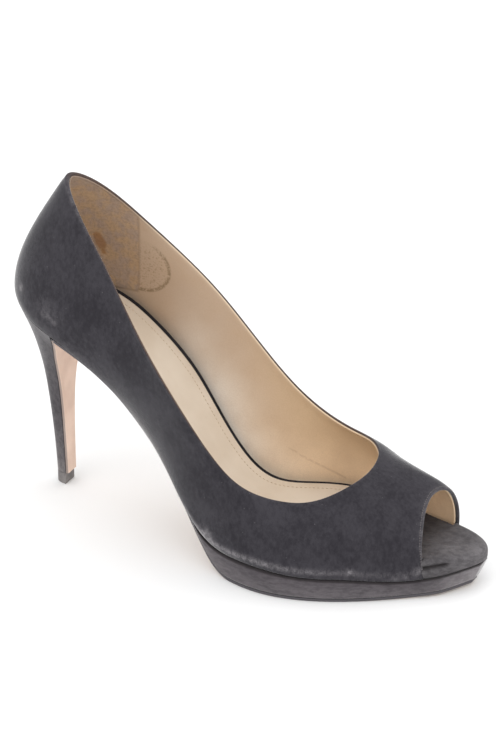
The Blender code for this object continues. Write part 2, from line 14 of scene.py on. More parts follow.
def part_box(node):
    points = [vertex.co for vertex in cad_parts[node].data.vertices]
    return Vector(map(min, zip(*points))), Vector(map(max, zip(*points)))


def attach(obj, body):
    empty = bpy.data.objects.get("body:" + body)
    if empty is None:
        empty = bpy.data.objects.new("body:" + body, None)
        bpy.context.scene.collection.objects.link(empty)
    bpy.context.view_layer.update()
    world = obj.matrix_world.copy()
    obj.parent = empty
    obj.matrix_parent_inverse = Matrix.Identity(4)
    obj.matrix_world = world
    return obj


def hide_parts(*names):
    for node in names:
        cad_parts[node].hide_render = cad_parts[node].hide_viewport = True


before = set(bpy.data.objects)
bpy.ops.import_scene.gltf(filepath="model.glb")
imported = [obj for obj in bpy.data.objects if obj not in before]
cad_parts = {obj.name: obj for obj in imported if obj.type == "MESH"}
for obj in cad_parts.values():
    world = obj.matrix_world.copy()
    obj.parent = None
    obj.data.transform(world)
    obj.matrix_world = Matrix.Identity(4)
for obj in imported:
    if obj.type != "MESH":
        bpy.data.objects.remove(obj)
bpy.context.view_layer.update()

MM = 0.001
GAP = 0.3

# Sizes of the part that the looks share.
WALL = 1.8
SUEDE_WALL = 1.0
SOCK = 0.8
INSOLE = 4.2
SEAT_PAD = 3.6
WAIST_PAD = 4.6
BALL_PAD = 2.0
TOE_PAD = 4.4
TIP_THINNING = 1.8
OUTSOLE = 1.5
WAIST_OUTSOLE = 1.4
BREAST_FACING = 1.2
LIFT_HEIGHT = 6.0
SOCK_FRONT = 188.0
BREAST_LINE = 33.0
PLATFORM_REAR = 106.0
PEEP_LINE = 219.0
SHANK_TANGENT = 98.0
SHANK_END = 130.0
TREAD_END = 188.0
TOE_SPRING = 2.5
SHANK_BLEND = 8.0
FEATHER_INSET = 0.9
WAIST_TUCK = 1.8
INSOLE_PLAY = 0.4
VAMP_PLAY = 0.9
SOCK_RIM = 2.4
LIP = 0.17
OUTSOLE_INSET = 1.1
WAIST_SOLE_INSET = 1.5
PLATFORM_TAPER = 0.3
WEDGE_TUCK = 2.2
TOE_STEP = 0.5
TOE_UNDERCUT = 3.6
HEEL_INSET = 1.2

# Stretches of the foot over which a size changes, from x to x.
SEAT_TO_WAIST = (20.0, 50.0)
WAIST_TO_BALL = (75.0, 105.0)
BALL_TO_TREAD = (120.0, 158.0)
TREAD_TO_TOE = (185.0, 217.0)
TUCK_STARTS = (50.0, 80.0)
TUCK_ENDS = (88.0, 112.0)
VAMP_NARROWS = (180.0, 205.0)
OUTSOLE_THICKENS = (90.0, 120.0)
SOLE_TUCKS = (34.0, 60.0)
SOLE_SPREADS = (104.0, 126.0)
WEDGE_EMERGES = (PLATFORM_REAR, 124.0)
SOCK_RUNS_OUT = (SOCK_FRONT - 8.0, SOCK_FRONT)
TOE_TURNS_UNDER = (222.0, 239.0)

# Outer edge of the last's bottom in plan: x, y, going round from the toe tip by the lateral side.
OUTLINE = (
    ("toe tip", 240.0, 13.5),
    ("lateral toe", 230.0, -2.5),
    ("lateral peep corner", 218.0, -12.0),
    ("lateral small toe", 196.0, -28.0),
    ("lateral forefoot", 174.0, -39.6),
    ("lateral ball", 151.0, -44.0),
    ("lateral ball rear", 130.0, -39.8),
    ("lateral waist front", 110.0, -31.0),
    ("lateral waist", 88.0, -24.5),
    ("lateral seat front", 60.0, -24.0),
    ("lateral seat", 34.0, -23.0),
    ("lateral counter", 11.5, -13.5),
    ("heel back", 3.5, 0.0),
    ("medial counter", 11.5, 13.5),
    ("medial seat", 34.0, 24.5),
    ("medial seat front", 60.0, 27.5),
    ("medial waist", 88.0, 29.0),
    ("medial waist front", 110.0, 23.2),
    ("medial ball rear", 130.0, 25.3),
    ("medial ball", 151.0, 36.7),
    ("medial forefoot", 172.0, 41.5),
    ("medial big toe", 196.0, 36.8),
    ("medial peep corner", 218.0, 30.0),
    ("medial toe", 233.0, 22.5),
)

# Height of the sock along the middle of the foot: x, z.
FOOTBED = (
    ("heel back", 4.0, 107.0),
    ("seat", 25.0, 101.2),
    ("seat front", 45.0, 95.2),
    ("waist rear", 62.0, 84.7),
    ("waist", 80.0, 68.0),
    ("shank", 97.0, 47.5),
    ("shank foot", 111.0, 32.0),
    ("ball rear", 124.0, 22.4),
    ("ball", 141.0, 19.4),
    ("tread", 165.0, 17.6),
    ("toes", 195.0, 17.2),
    ("peep", 218.0, 19.3),
    ("toe tip", 241.0, 22.0),
)

# Sections of the upper's wall. The foot of a rib is on the outline at edge x, its top on the topline.
# Flare and lean are degrees outward of vertical at the foot and at the top, sweep is degrees towards
# the heel at the foot, and rise and drop are how far the wall keeps its way.
RIB_COLUMNS = ("edge_x", "side", "top_x", "top_y", "top_z", "flare", "sweep", "rise", "lean", "drop")
RIBS = (
    ("lateral peep corner", 219.5, -1, 177.5, -18.5, 47.4, -9, 17, 19, 62, 17),
    ("lateral vamp", 198.0, -1, 171.0, -25.5, 45.6, -2, 7, 17, 55, 13),
    ("lateral ball", 171.0, -1, 161.0, -31.5, 45.2, 4, 0, 13, 42, 10),
    ("lateral ball rear", 144.0, -1, 145.0, -37.5, 48.9, 8, 0, 12, 20, 11),
    ("lateral waist front", 117.0, -1, 128.0, -39.9, 61.2, 20, -8, 13, 0, 12),
    ("lateral waist", 90.0, -1, 106.0, -38.3, 85.5, 30, -10, 16, -8, 14),
    ("lateral waist rear", 62.0, -1, 84.0, -31.5, 108.2, 22, -10, 16, -6, 15),
    ("lateral seat", 36.0, -1, 62.2, -23.2, 134.8, 12, -5, 18, 8, 18),
    ("lateral counter", 15.0, -1, 40.9, -12.9, 155.2, 11.5, 0, 20, 17, 22),
    ("back", 3.5, 0, 29.2, 0.0, 165.1, 13, 0, 20, 30, 21.5),
    ("medial counter", 15.0, 1, 40.5, 12.3, 156.9, 9, 0, 20, 22, 22),
    ("medial seat", 36.0, 1, 61.5, 21.3, 136.6, 10, -5, 18, 8, 18),
    ("medial waist rear", 62.0, 1, 86.0, 29.4, 111.3, 16, -10, 16, -2, 15),
    ("medial waist", 90.0, 1, 106.5, 32.4, 88.9, 22, -10, 16, -2, 14),
    ("medial waist front", 117.0, 1, 126.5, 34.0, 67.8, 28, -8, 14, 2, 12),
    ("medial ball rear", 144.0, 1, 145.0, 33.8, 55.9, 14, 0, 14, 16, 12),
    ("medial ball", 171.0, 1, 161.0, 31.6, 51.9, 4, 0, 16, 40, 12),
    ("medial vamp", 198.0, 1, 172.5, 28.0, 51.6, 3, 8, 17, 55, 12),
    ("medial peep corner", 216.5, 1, 179.0, 22.8, 51.1, 9, 25, 18, 63, 17),
)

# Ribs that start on the edge of the peep opening, from its medial foot over the top. Headings are
# degrees in plan from the toe towards the medial side, at the edge and at the topline.
ARCH_RIB_COLUMNS = ("heading", "top_heading", "top_x", "top_y", "top_z", "flare", "rise", "lean", "drop")
ARCH_RIBS = (
    ("medial arch", -12, 40, 182.4, 16.5, 50.6, -48, 14.5, 72, 12),
    ("arch top", 4, 5, 184.3, 4.5, 49.9, -76, 8, 72, 9.5),
    ("lateral arch", 24, -28, 182.4, -8.5, 49.2, -68, 11, 72, 13),
)

# How far from the medial peep corner, in ribs, the wall goes from a fair curve to following its foot.
CORNER_EASE = (0.9, 1.5)

# Edge of the peep opening between its two feet: x, y, z. The foot points come from the outline.
PEEP_ARCH = (
    ("medial side", 217.3, 29.0, 29.5),
    ("medial shoulder", 215.4, 26.2, 36.3),
    ("top", 212.4, 13.2, 40.7),
    ("lateral shoulder", 215.2, -2.0, 32.2),
    ("lateral side", 218.0, -8.4, 21.5),
)

# Sections of the heel from the lift up: back x, z, breast x, z and half of the width.
HEEL_SECTIONS = (
    ("lift", 20.9, 6.3, 26.9, 6.3, 3.9),
    ("stem", 19.7, 24.0, 26.5, 24.0, 4.4),
    ("stem top", 17.9, 42.0, 26.2, 41.0, 5.3),
    ("neck", 16.2, 56.0, 26.1, 54.0, 6.8),
    ("cup foot", 14.6, 67.0, 26.4, 64.0, 9.2),
    ("cup", 12.4, 78.0, 27.3, 73.5, 12.6),
    ("cup top", 9.6, 88.0, 29.0, 82.0, 16.4),
)

# How far the upper rolls out over its seam with the sole: x, lateral, medial.
SEAM_ROLL = (
    ("heel back", 0.0, 0.25, 0.25),
    ("seat front", 45.0, 0.2, 0.2),
    ("waist", 75.0, 0.0, 0.0),
    ("waist front", 100.0, 0.3, 0.2),
    ("ball rear", 120.0, 0.95, 0.5),
    ("ball", 155.0, 0.8, 0.45),
    ("small toe", 190.0, 0.5, 0.4),
    ("peep corner", 218.0, 0.3, 0.3),
)

# How finely the looks are meshed.
RIB_STEPS = 16
RIB_SAMPLES = 120
WALL_ROWS = 44
ROLL_ROWS = 8
ROW_CROWDING = 0.09
HEEL_STEPS = 10
HEEL_POINTS = 65
RIM_SAMPLES = 2400
INSOLE_ROWS = 30
TOE_ROUND_STEPS = 7
FOOT_REACH = 250.0
FOOT_SAMPLES = 1001
SHANK_START = 20.0
SHANK_SAMPLES = 200
SHANK_TURN = 10.0
TURN_STATIONS = 31
AFTER_TURN = 1.0
BEFORE_STEP = 0.2
AFTER_STEP = 0.3
TIP_GAP = 0.02
SOCK_BACK_GAP = 0.03
INSOLE_BACK_GAP = 0.05
SLOPE_STEP = 0.2
BED_STEP = 0.5

# Finish of edges.
TOE_ROUND = 3.0
PLATFORM_ROUND = 1.3
PLATFORM_DEPTH = 11.0
SOLE_ROUND = 0.3
SOCK_ROUND = 0.3
LIFT_ROUND = 0.35
FACING_ROUND = 0.35
HEEL_SQUARENESS = 0.9
SEAT_BACK = 0.1
STEP_LEAN = 1.1
MEDIAL_STEP = -1.9
LATERAL_STEP = -0.3
STEP_RUN = 0.4
SLOT = 2.2
SLOT_SHARE = 0.34
SLOT_HALF = 0.13
# Strength of the painted shade in the slot.
SLOT_SHADE = 0.8
SLOT_ENDS = (PEEP_LINE + 7.0, PEEP_LINE + 11.0)
LIP_TO_TOE = (PEEP_LINE - 4.0, PEEP_LINE)
FACING_MARGIN = 0.2
FACING_STOP = 2.4
# Depth below the sock over which the facing's top turns dark: edge paint and painted shadow of the seam.
FACING_PAINT_AND_SHADE = (13.0, 13.6)
FACING_SIDES = 0.7
LINING_PLAY = 0.02
LINING_TOP = 0.3
LINING_LOW = 0.9
LINING_FOOT = 1.2
LINING_ARCH = 1.1
ROLL_HEIGHT = 4.0
TOP_TURN = 0.35
BACK_TURN = 0.4
TURN_REACH = 4.0
BACK_SPREAD = 0.9
BACK_PAD = 1.4
PEEP_PAD = 0.5
PAD_REACH = 6.0

# Edge of the insole inside the wall, from its top down: set-back, share of the depth, share of the lip.
INSOLE_EDGE = (
    (1.75, 0.0, 0.0),
    (1.5, 0.0, 0.55),
    (1.15, 0.0, 1.0),
    (0.7, 0.02, 1.0),
    (0.25, 0.1, 0.95),
    (0.0, 0.28, 0.5),
    (-0.1, 0.5, 0.0),
    (-0.6, 0.7, 0.0),
    (-1.7, 0.86, 0.0),
    (-1.7, 1.0, 0.0),
)

# Edge of the insole at the toe, below its round: set-back, share of the depth.
TOE_EDGE = ((0.0, 0.5), (0.2, 0.75), (0.5, 0.9), (1.2, 1.0))

# Stitches: length, pitch and radius of the thread, set-back of the row from its edge, form of a thread.
PEEP_STITCH = (0.6, 1.2, 0.15)
SOCK_STITCH = (1.25, 2.0, 0.16)
PEEP_SEAM = 1.4
SEAM_INSET = 4.3
STITCH_SIDES = 6
STITCH_RINGS = 7
STITCH_SINK = 0.35
STITCH_BOW = 1.2
STITCH_TAPER = 0.75

# Places round the upper, counted in ribs.
BACK_RIB = [row[0] for row in RIBS].index("back")
RUBBED_BACK = (BACK_RIB - 0.7, 0.9)
ARCH_START = len(RIBS) - 1
ARCH_END = len(RIBS) + len(ARCH_RIBS)
ARCH_BEGINS = (ARCH_START - 0.5, ARCH_START + 0.2)
ARCH_STOPS = (ARCH_END - 0.4, ARCH_END)
NEAR_SIDE_BEGINS = (ARCH_START + 0.6, ARCH_START + 1.5)
NEAR_SIDE_STOPS = (BACK_RIB - 0.8, BACK_RIB + 0.2)

# Scuffs that the photograph shows, and a painted highlight above the heel seam: pixel, radius and strength.
SCUFFS_AND_HIGHLIGHTS = (
    ((21, 288), 1.8, 1.0),
    # Painted highlight on the bulge above the heel seam, in this row and the next four.
    ((43, 314), 1.3, 0.25),
    ((47, 317), 1.4, 0.3),
    ((51, 320), 1.4, 0.3),
    ((55, 324), 1.3, 0.25),
    ((46, 312), 7.0, 0.15),
    ((418, 572), 2.0, 0.4),
    ((406, 577), 1.5, 0.35),
    ((395, 579), 1.5, 0.3),
    ((349, 572), 1.4, 0.7),
    ((206, 536), 3.5, 1.0),
    ((366, 436), 1.5, 0.5),
)
STAINS = (
    ((76, 190), 3.5, 0.35),
    ((101, 243), 3.0, 1.0),
    ((97, 235), 2.4, 0.8),
    ((104, 252), 1.8, 0.7),
    ((133, 289), 1.6, 0.4),
)
BRUSH_MARKS = (((452, 548), 5.0, 0.15),)

# Rub along the edges of the upper: strength, and how far in from the edge it fades.
SEAM_RUB = (0.12, 1.5)
PEEP_RUB = (0.55, 1.0)
TOP_RUB = (0.12, 0.8)
BACK_RUB = (0.5, 0.8)
# Along the waist's foot: partly dust, partly painted sheen at the grazing edge.
WAIST_DUST_AND_SHEEN = (0.2, 4.0)
WAIST_DUST_AND_SHEEN_BEGINS = (35.0, 55.0)
WAIST_DUST_AND_SHEEN_STOPS = (95.0, 125.0)
ROLL_RUB_WIDTH = 1.5
BARE_TOP = 0.8
BARE_ROW = 2

# Rub and painted shade elsewhere: strength, and the stretch over which it comes in, or fades if it runs
# back.
FLOOR_RUB = 0.28
FLOOR_BEGINS = (198.0, 218.0)
FLOOR_TIP_RUB = (0.2, (228.0, 240.0))
PLATFORM_RUB = 0.1
PLATFORM_LOW_RUB = (0.2, (0.3, 1.0))
PLATFORM_REAR_RUB = (0.15, (150.0, 115.0))
PLATFORM_TOE_RUB = (0.55, (218.0, 240.0))
PLATFORM_TOP_SHADE = (0.7, (0.12, 0.03))
HEEL_RUB = 0.12
HEEL_STEM_RUB = (0.28, (45.0, 6.0))
HEEL_TIP_RUB = (0.2, (16.0, 6.0))

# Tones of the lining along x, painted light low on its wall and at its toe, and how far and how strongly
# its edge is clean or soiled.
LINING_TANS = (90.0, 150.0)
LINING_PAINTED_LIGHT_STARTS = (60.0, 90.0)
PAINTED_LIGHT_REACH = 22.0
PAINTED_LIGHT_TOE = (185.0, 205.0)
EDGE_REACH = 0.6
EDGE_CLEANS = (45.0, 75.0)
CLEAN_EDGE = 0.5
SOILED_EDGE = 0.6

# Marks on the lining, at x and z: front edge and foot of a lost heel grip, a round mark at it, a seam.
GRIP_EDGE = ((51.4, 101.2), (56.0, 137.7))
GRIP_FOOT = 96.5
GRIP_MARK = (53.5, 112.5)
GRIP_MARK_RADIUS = 14.5
GRIP_MARK_FADES = (119.0, 128.0)
LINING_SEAM = ((119.9, 38.3), (154.8, 19.8))

# Half of the floor's side, and the lights: name, place, height of the aim, size and power. In metres.
FLOOR_HALF = 6.0
LIGHTS = (
    ("key", (-0.5, -1.3, 1.6), 0.06, 1.6, 8),
    ("fill", (1.5, -0.5, 1.2), 0.05, 1.8, 7),
    ("top", (0.0, 0.5, 1.9), 0.05, 2.4, 10),
)

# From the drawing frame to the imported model's frame, read off the top lift.
LIFT_LOW, LIFT_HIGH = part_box("top_lift")
SHIFT = np.array([LIFT_LOW.x / MM - HEEL_SECTIONS[0][1], (LIFT_LOW.y + LIFT_HIGH.y) / 2 / MM, 0.0])

# Directions, and a point inside the upper.
UP = np.array([0.0, 0.0, 1.0])
SIDEWAYS = np.array([0.0, 1.0, 0.0])
WALL_MIDDLE = np.array([120.0, 0.0, 60.0])

# Camera of the photograph: it looks at AIM, which lies at a pixel of the 500 x 750 frame.
IMAGE = np.array([500.0, 750.0])
FOCAL_PX = 4370.0
CAMERA_TURN = np.radians(29.0)
CAMERA_TILT = np.radians(30.0)
CAMERA_AWAY = 2000.0
AIM = np.array([115.0, 0.0, 70.0])
AIM_PX = np.array([232.0, 398.5])
SENSOR = 36.0
RIGHT = np.array([np.cos(CAMERA_TURN), np.sin(CAMERA_TURN), 0.0])
BACKWARD = np.cos(CAMERA_TILT) * np.cross(RIGHT, UP) + np.sin(CAMERA_TILT) * UP
UPWARD = np.cross(BACKWARD, RIGHT)
AIM_OFF = (AIM_PX - IMAGE / 2) * CAMERA_AWAY / FOCAL_PX
EYE = AIM + CAMERA_AWAY * BACKWARD - AIM_OFF[0] * RIGHT + AIM_OFF[1] * UPWARD


def spline(knots, rows, closed=False):
    """Cubic of smooth curvature through the rows at rising knots, as a function of the knot value."""
    knots = np.asarray(knots, float)
    rows = np.asarray(rows, float)
    rows = rows.reshape(len(rows), -1)
    step = np.diff(knots)
    last = len(step)
    slope = np.diff(rows, axis=0) / step[:, None]
    matrix = np.zeros((last + 1, last + 1))
    right = np.zeros_like(rows)
    for i in range(1, last):
        matrix[i, i - 1 : i + 2] = step[i - 1], 2 * (step[i - 1] + step[i]), step[i]
        right[i] = 6 * (slope[i] - slope[i - 1])
    matrix[0, 0] = 1
    if closed:
        matrix[0, last] = -1
        matrix[last, :2] = 2 * step[0], step[0]
        matrix[last, last - 1 :] += step[-1], 2 * step[-1]
        right[last] = 6 * (slope[0] - slope[-1])
    else:
        matrix[last, last] = 1
    bend = np.linalg.solve(matrix, right)

    def at(where):
        where = np.atleast_1d(np.asarray(where, float))
        i = np.clip(np.searchsorted(knots, where, "right") - 1, 0, last - 1)
        h = step[i][:, None]
        a = (knots[i + 1] - where)[:, None] / h
        b = 1 - a
        curve = (a**3 - a) * bend[i] + (b**3 - b) * bend[i + 1]
        return a * rows[i] + b * rows[i + 1] + curve * h * h / 6

    return at


def smoothstep(stretch, value):
    """0 before the stretch, 1 after it, and a soft step between. A stretch that runs back falls from 1."""
    low, high = stretch
    t = np.clip((np.asarray(value, float) - low) / (high - low), 0, 1)
    return t * t * (3 - 2 * t)


def ramp(row, value):
    """Strength that comes in softly over a stretch."""
    strength, stretch = row
    return strength * smoothstep(stretch, value)


def edge_rub(row, away):
    """Strength that fades with the distance from an edge."""
    strength, reach = row
    return strength * np.exp(-away / reach)


def ridge(value, middle, width):
    """1 at the middle, falling softly to 0 over about twice the width."""
    return np.exp(-(((value - middle) / width) ** 2))


def chords(points):
    """Running length along a row of points, from 0."""
    return np.concatenate([[0], np.cumsum(np.linalg.norm(np.diff(points, axis=0), axis=1))])


def read_along(at, run, rows):
    """Rows that belong to places along a run, read at other places of it."""
    return np.column_stack([np.interp(at, run, column) for column in rows.T])


def unit(vectors):
    return vectors / np.linalg.norm(vectors, axis=-1, keepdims=True)


def leftward(loop):
    """Direction in plan, at each point of a closed loop, to the left of its way."""
    way = np.roll(loop, -1, axis=0) - np.roll(loop, 1, axis=0)
    return unit(np.column_stack([-way[:, 1], way[:, 0]]))


# Plan of the last: one closed curve, sampled, with its outward direction.
OUTLINE_XY = np.array([row[1:] for row in OUTLINE + OUTLINE[:1]])
OUTLINE_KNOTS = chords(OUTLINE_XY)
OUTLINE_AT = spline(OUTLINE_KNOTS, OUTLINE_XY, closed=True)
RIM_W = np.linspace(0, OUTLINE_KNOTS[-1], RIM_SAMPLES, endpoint=False)
RIM = OUTLINE_AT(RIM_W)
RIM_OUT = leftward(RIM)
BACK_I = int(RIM[:, 0].argmin())

BED_AT = spline([row[1] for row in FOOTBED], [row[2] for row in FOOTBED])


def bed_frame(x):
    """Height of the sock at x, and its upward direction in the plane of the foot."""
    rise = (BED_AT(x + BED_STEP) - BED_AT(x - BED_STEP))[:, 0]
    return BED_AT(x)[:, 0], unit(np.column_stack([-rise, np.ones_like(rise)]))


def bed(x, y, depth):
    """Points at the given depth below the sock, measured square to it."""
    z, up = bed_frame(x)
    y = np.broadcast_to(y, z.shape)
    return np.column_stack([x - depth * up[:, 0], y, z - depth * up[:, 1]])


def insole_under(x):
    """Depth of the insole's underside below the sock: padded from heel to ball, and behind the toe tip."""
    pad = SEAT_PAD + (WAIST_PAD - SEAT_PAD) * smoothstep(SEAT_TO_WAIST, x)
    pad += (BALL_PAD - WAIST_PAD) * smoothstep(WAIST_TO_BALL, x) - BALL_PAD * smoothstep(BALL_TO_TREAD, x)
    pad += TOE_PAD * smoothstep(TREAD_TO_TOE, x) - TIP_THINNING * smoothstep(TOE_TURNS_UNDER, x)
    return SOCK + INSOLE + pad


def feather_inset(x):
    """How far the lower edge of the upper stands in from the outline: it turns under at the waist."""
    return FEATHER_INSET + WAIST_TUCK * smoothstep(TUCK_STARTS, x) * (1 - smoothstep(TUCK_ENDS, x))


def edges(inset):
    """Lateral and medial edge of the outline moved in by inset, as functions of x, and both ends' x."""
    rim = RIM - RIM_OUT * np.broadcast_to(inset, len(RIM))[:, None]
    rim = np.roll(rim, -int(rim[:, 0].argmax()), axis=0)
    back = int(rim[:, 0].argmin())
    lateral = rim[: back + 1][::-1]
    medial = np.concatenate([rim[back:], rim[:1]])

    def lateral_y(x):
        return np.interp(x, *lateral.T)

    def medial_y(x):
        return np.interp(x, *medial.T)

    return lateral_y, medial_y, rim[back, 0], rim[0, 0]


def stations(start, end, count, round_start=False):
    """Places along the foot, closer together towards the end, or the start, that is round in plan."""
    t = np.linspace(0, np.pi / 2, count)
    return start + (end - start) * (1 - np.cos(t) if round_start else np.sin(t))


# Making meshes.


def add_piece(name, points, faces, look, replaced=(), sharp=40):
    """A piece of the object from points in the drawing frame, on the shoe's one body."""
    mesh = bpy.data.meshes.new(name)
    mesh.from_pydata(((points + SHIFT) * MM).tolist(), [], faces)
    shape = bmesh.new()
    shape.from_mesh(mesh)
    bmesh.ops.recalc_face_normals(shape, faces=shape.faces)
    shape.to_mesh(mesh)
    shape.free()
    mesh.materials.append(look)
    mesh.shade_smooth()
    mesh.set_sharp_from_angle(angle=np.radians(sharp))
    piece = bpy.data.objects.new(name, mesh)
    bpy.context.scene.collection.objects.link(piece)
    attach(piece, "root")
    if replaced:
        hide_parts(*replaced)
    return piece


def set_values(piece, name, values):
    """Stores one number for each vertex, for the piece's material to read."""
    attribute = piece.data.attributes.new(name, "FLOAT", "POINT")
    attribute.data.foreach_set("value", np.asarray(values, np.float32).ravel())


def quads(index):
    """Faces between neighbouring rows and columns of an array of vertex numbers."""
    stacked = np.stack([index[:-1, :-1], index[:-1, 1:], index[1:, 1:], index[1:, :-1]], axis=-1)
    return stacked.reshape(-1, 4).tolist()


def ring_round(index, axis):
    """Repeats the first row or column of vertex numbers after the last, so that the faces close."""
    return np.concatenate([index, np.take(index, [0], axis=axis)], axis=axis)


def stack(rows, across):
    """Closed solid through loops of equal size, each listed forward on the lateral side and back on the
    medial side, with a cap on the first and the last. Returns points, faces and the loops' numbers."""
    rows = np.asarray(rows)
    count, size = rows.shape[:2]
    half = size // 2
    index = np.arange(count * size).reshape(count, size)
    points = [rows.reshape(-1, 3)]
    faces = quads(ring_round(index, 1))
    used = count * size
    share = np.linspace(0, 1, across + 1)[1:-1, None]
    for row, numbers in ((rows[0], index[0]), (rows[-1], index[-1])):
        inner = row[:half, None] * (1 - share) + row[half:][::-1, None] * share
        inner_index = used + np.arange(half * (across - 1)).reshape(half, across - 1)
        used += inner_index.size
        points.append(inner.reshape(-1, 3))
        faces += quads(np.column_stack([numbers[:half], inner_index, numbers[half:][::-1]]))
    return np.concatenate(points), faces, index


def plan_loop(xs, low, high):
    """Loop in plan: forward along the lateral edge, back along the medial one."""
    return np.concatenate([np.column_stack([xs, low]), np.column_stack([xs, high])[::-1]])


def slab(loop_at, place_top, place_foot, profile, across):
    """Plate whose profile rows give the set-back from the edge and the share of the depth, from the top
    down. Loop_at gives the loop in plan at a set-back and a share."""
    rows = []
    for set_back, share in profile:
        at = loop_at(set_back, share)
        rows.append(place_top(at) * (1 - share) + place_foot(at) * share)
    return stack(rows, across)


def rounded(radius, depth, steps):
    """Profile of a plate whose upper and lower edges are rounded."""
    turn = np.linspace(0, np.pi / 2, steps)
    reach = radius / depth
    upper = [(radius * (1 - np.sin(t)), reach * (1 - np.cos(t))) for t in turn]
    return upper + [(set_back, 1 - share) for set_back, share in upper[::-1]]


# Soles.


def outsole_depth(x):
    """Thickness of the outsole: thin at the waist, full under the forefoot."""
    return WAIST_OUTSOLE + (OUTSOLE - WAIST_OUTSOLE) * smoothstep(OUTSOLE_THICKENS, x)


# Underside of the insole along the foot.
ALONG = np.linspace(0, FOOT_REACH, FOOT_SAMPLES)
UNDERSIDE = bed(ALONG, 0, insole_under(ALONG) + GAP)


def place_above(x):
    """Place on the footbed that a point of the insole's underside belongs to."""
    return np.interp(x, UNDERSIDE[:, 0], ALONG)


def shank_line(x):
    """Underside of the sole: square below the footbed to the shank's tangent, then straight down."""
    along = np.linspace(SHANK_START, SHANK_TANGENT, SHANK_SAMPLES)
    under = bed(along, 0, insole_under(along) + GAP + outsole_depth(along))
    slope = (under[-1, 2] - under[-2, 2]) / (under[-1, 0] - under[-2, 0])
    straight = under[-1, 2] + slope * (x - under[-1, 0])
    return np.where(x > under[-1, 0], straight, np.interp(x, under[:, 0], under[:, 2]))


def tread_line(x):
    """Flat tread, and the toe spring in front of it."""
    toe = OUTLINE[0][1]
    return TOE_SPRING * (np.clip(x - TREAD_END, 0, None) / (toe - TREAD_END)) ** 2


def sole_bottom(x):
    """Underside of the outsole: shank and tread, blended where they meet."""
    shank = shank_line(x)
    tread = tread_line(x)
    near = np.clip(SHANK_BLEND - np.abs(shank - tread), 0, None) / SHANK_BLEND
    return np.maximum(shank, tread) + near * near * SHANK_BLEND / 4


def sole_points(at, height):
    """Points above the underside, measured square to it."""
    x = at[:, 0]
    slope = (sole_bottom(x + SLOPE_STEP) - sole_bottom(x - SLOPE_STEP)) / (2 * SLOPE_STEP)
    up = unit(np.column_stack([-slope, np.ones_like(slope)]))
    return np.column_stack([x + height * up[:, 0], at[:, 1], sole_bottom(x) + height * up[:, 1]])


def platform_inset():
    """The platform comes out from under the upper on the shank, and stands back a little at the toe."""
    x = RIM[:, 0]
    tuck = feather_inset(x) - FEATHER_INSET + WEDGE_TUCK * (1 - smoothstep(WEDGE_EMERGES, x))
    return tuck + TOE_STEP * smoothstep(TOE_TURNS_UNDER, x)


def sole_inset():
    """The outsole stands in from the upper at the waist, and from the platform in front of it."""
    x = RIM[:, 0]
    waist = feather_inset(x) + WAIST_SOLE_INSET * smoothstep(SOLE_TUCKS, x)
    inset = waist + (OUTSOLE_INSET - waist) * smoothstep(SOLE_SPREADS, x)
    return inset + (TOE_STEP + TOE_UNDERCUT) * smoothstep(TOE_TURNS_UNDER, x)


def sole_loop(inset, start, before, after):
    """Loop of a sole in plan, with places close together at the end of the shank and at the toe."""
    low, high, _, front = edges(inset)
    turn = np.linspace(SHANK_END - SHANK_TURN, SHANK_END + SHANK_TURN, TURN_STATIONS)
    shank = np.linspace(start, turn[0], before, endpoint=False)
    xs = np.concatenate([shank, turn, stations(turn[-1] + AFTER_TURN, front - TIP_GAP, after)])
    at = place_above(xs)
    return plan_loop(xs, low(at), high(at))


# Upper.


def rim_place(x, side):
    """Running length along the outline at x on the lateral or medial side, counted from the toe tip."""
    if side == 0:
        return RIM_W[BACK_I]
    if side < 0:
        return np.interp(-x, -RIM[: BACK_I + 1, 0], RIM_W[: BACK_I + 1])
    return np.interp(x, RIM[BACK_I:, 0], RIM_W[BACK_I:])


def feather(w):
    """Lower edge of the upper at running lengths w of the outline, and the outward direction there."""
    xy = OUTLINE_AT(w)
    out = unit(read_along(w, RIM_W, RIM_OUT))
    xy = xy - out * feather_inset(xy[:, 0])[:, None]
    return bed(*xy.T, insole_under(xy[:, 0])), np.column_stack([out, np.zeros(len(w))])


def tilted(out, upright, degrees):
    """Direction that leans from upright towards out."""
    angle = np.radians(degrees)
    return np.sin(angle) * out + np.cos(angle) * upright


def towards_heel(out):
    """Direction along the outline, square to out, that points to the heel."""
    along = np.array([out[1], -out[0], 0.0])
    return along if along[0] < 0 else -along


def compass(degrees):
    """Level direction, in degrees from the toe towards the medial side."""
    angle = np.radians(degrees)
    return np.array([np.cos(angle), np.sin(angle), 0.0])


def upper_ribs():
    """Rib rows as arrays: place on the outline, curve of the arch, topline points, pull at each end."""
    rows = [dict(zip(RIB_COLUMNS, row[1:])) for row in RIBS]
    arch_rows = [dict(zip(ARCH_RIB_COLUMNS, row[1:])) for row in ARCH_RIBS]
    places = [rim_place(row["edge_x"], row["side"]) for row in rows]
    foot, out = feather(np.array(places))
    corners = np.array([foot[-1], *[row[1:] for row in PEEP_ARCH], foot[0]])
    arch = spline(chords(corners) / chords(corners)[-1], corners)
    tops = np.array([[row["top_x"], row["top_y"], row["top_z"]] for row in rows + arch_rows])
    springs = []
    falls = []
    for row, way in zip(rows, out):
        climb = tilted(towards_heel(way), UP, row["sweep"])
        springs.append(row["rise"] * tilted(way, climb, row["flare"]))
        falls.append(row["drop"] * tilted(way, -UP, row["lean"]))
    for row in arch_rows:
        springs.append(row["rise"] * tilted(compass(row["heading"]), UP, row["flare"]))
        falls.append(row["drop"] * tilted(compass(row["top_heading"]), -UP, row["lean"]))
    return places, arch, tops, np.array(springs), np.array(falls)


def closed_by_rib(values):
    values = np.concatenate([values, values[:1]])
    return spline(np.arange(len(values)), values, closed=True)


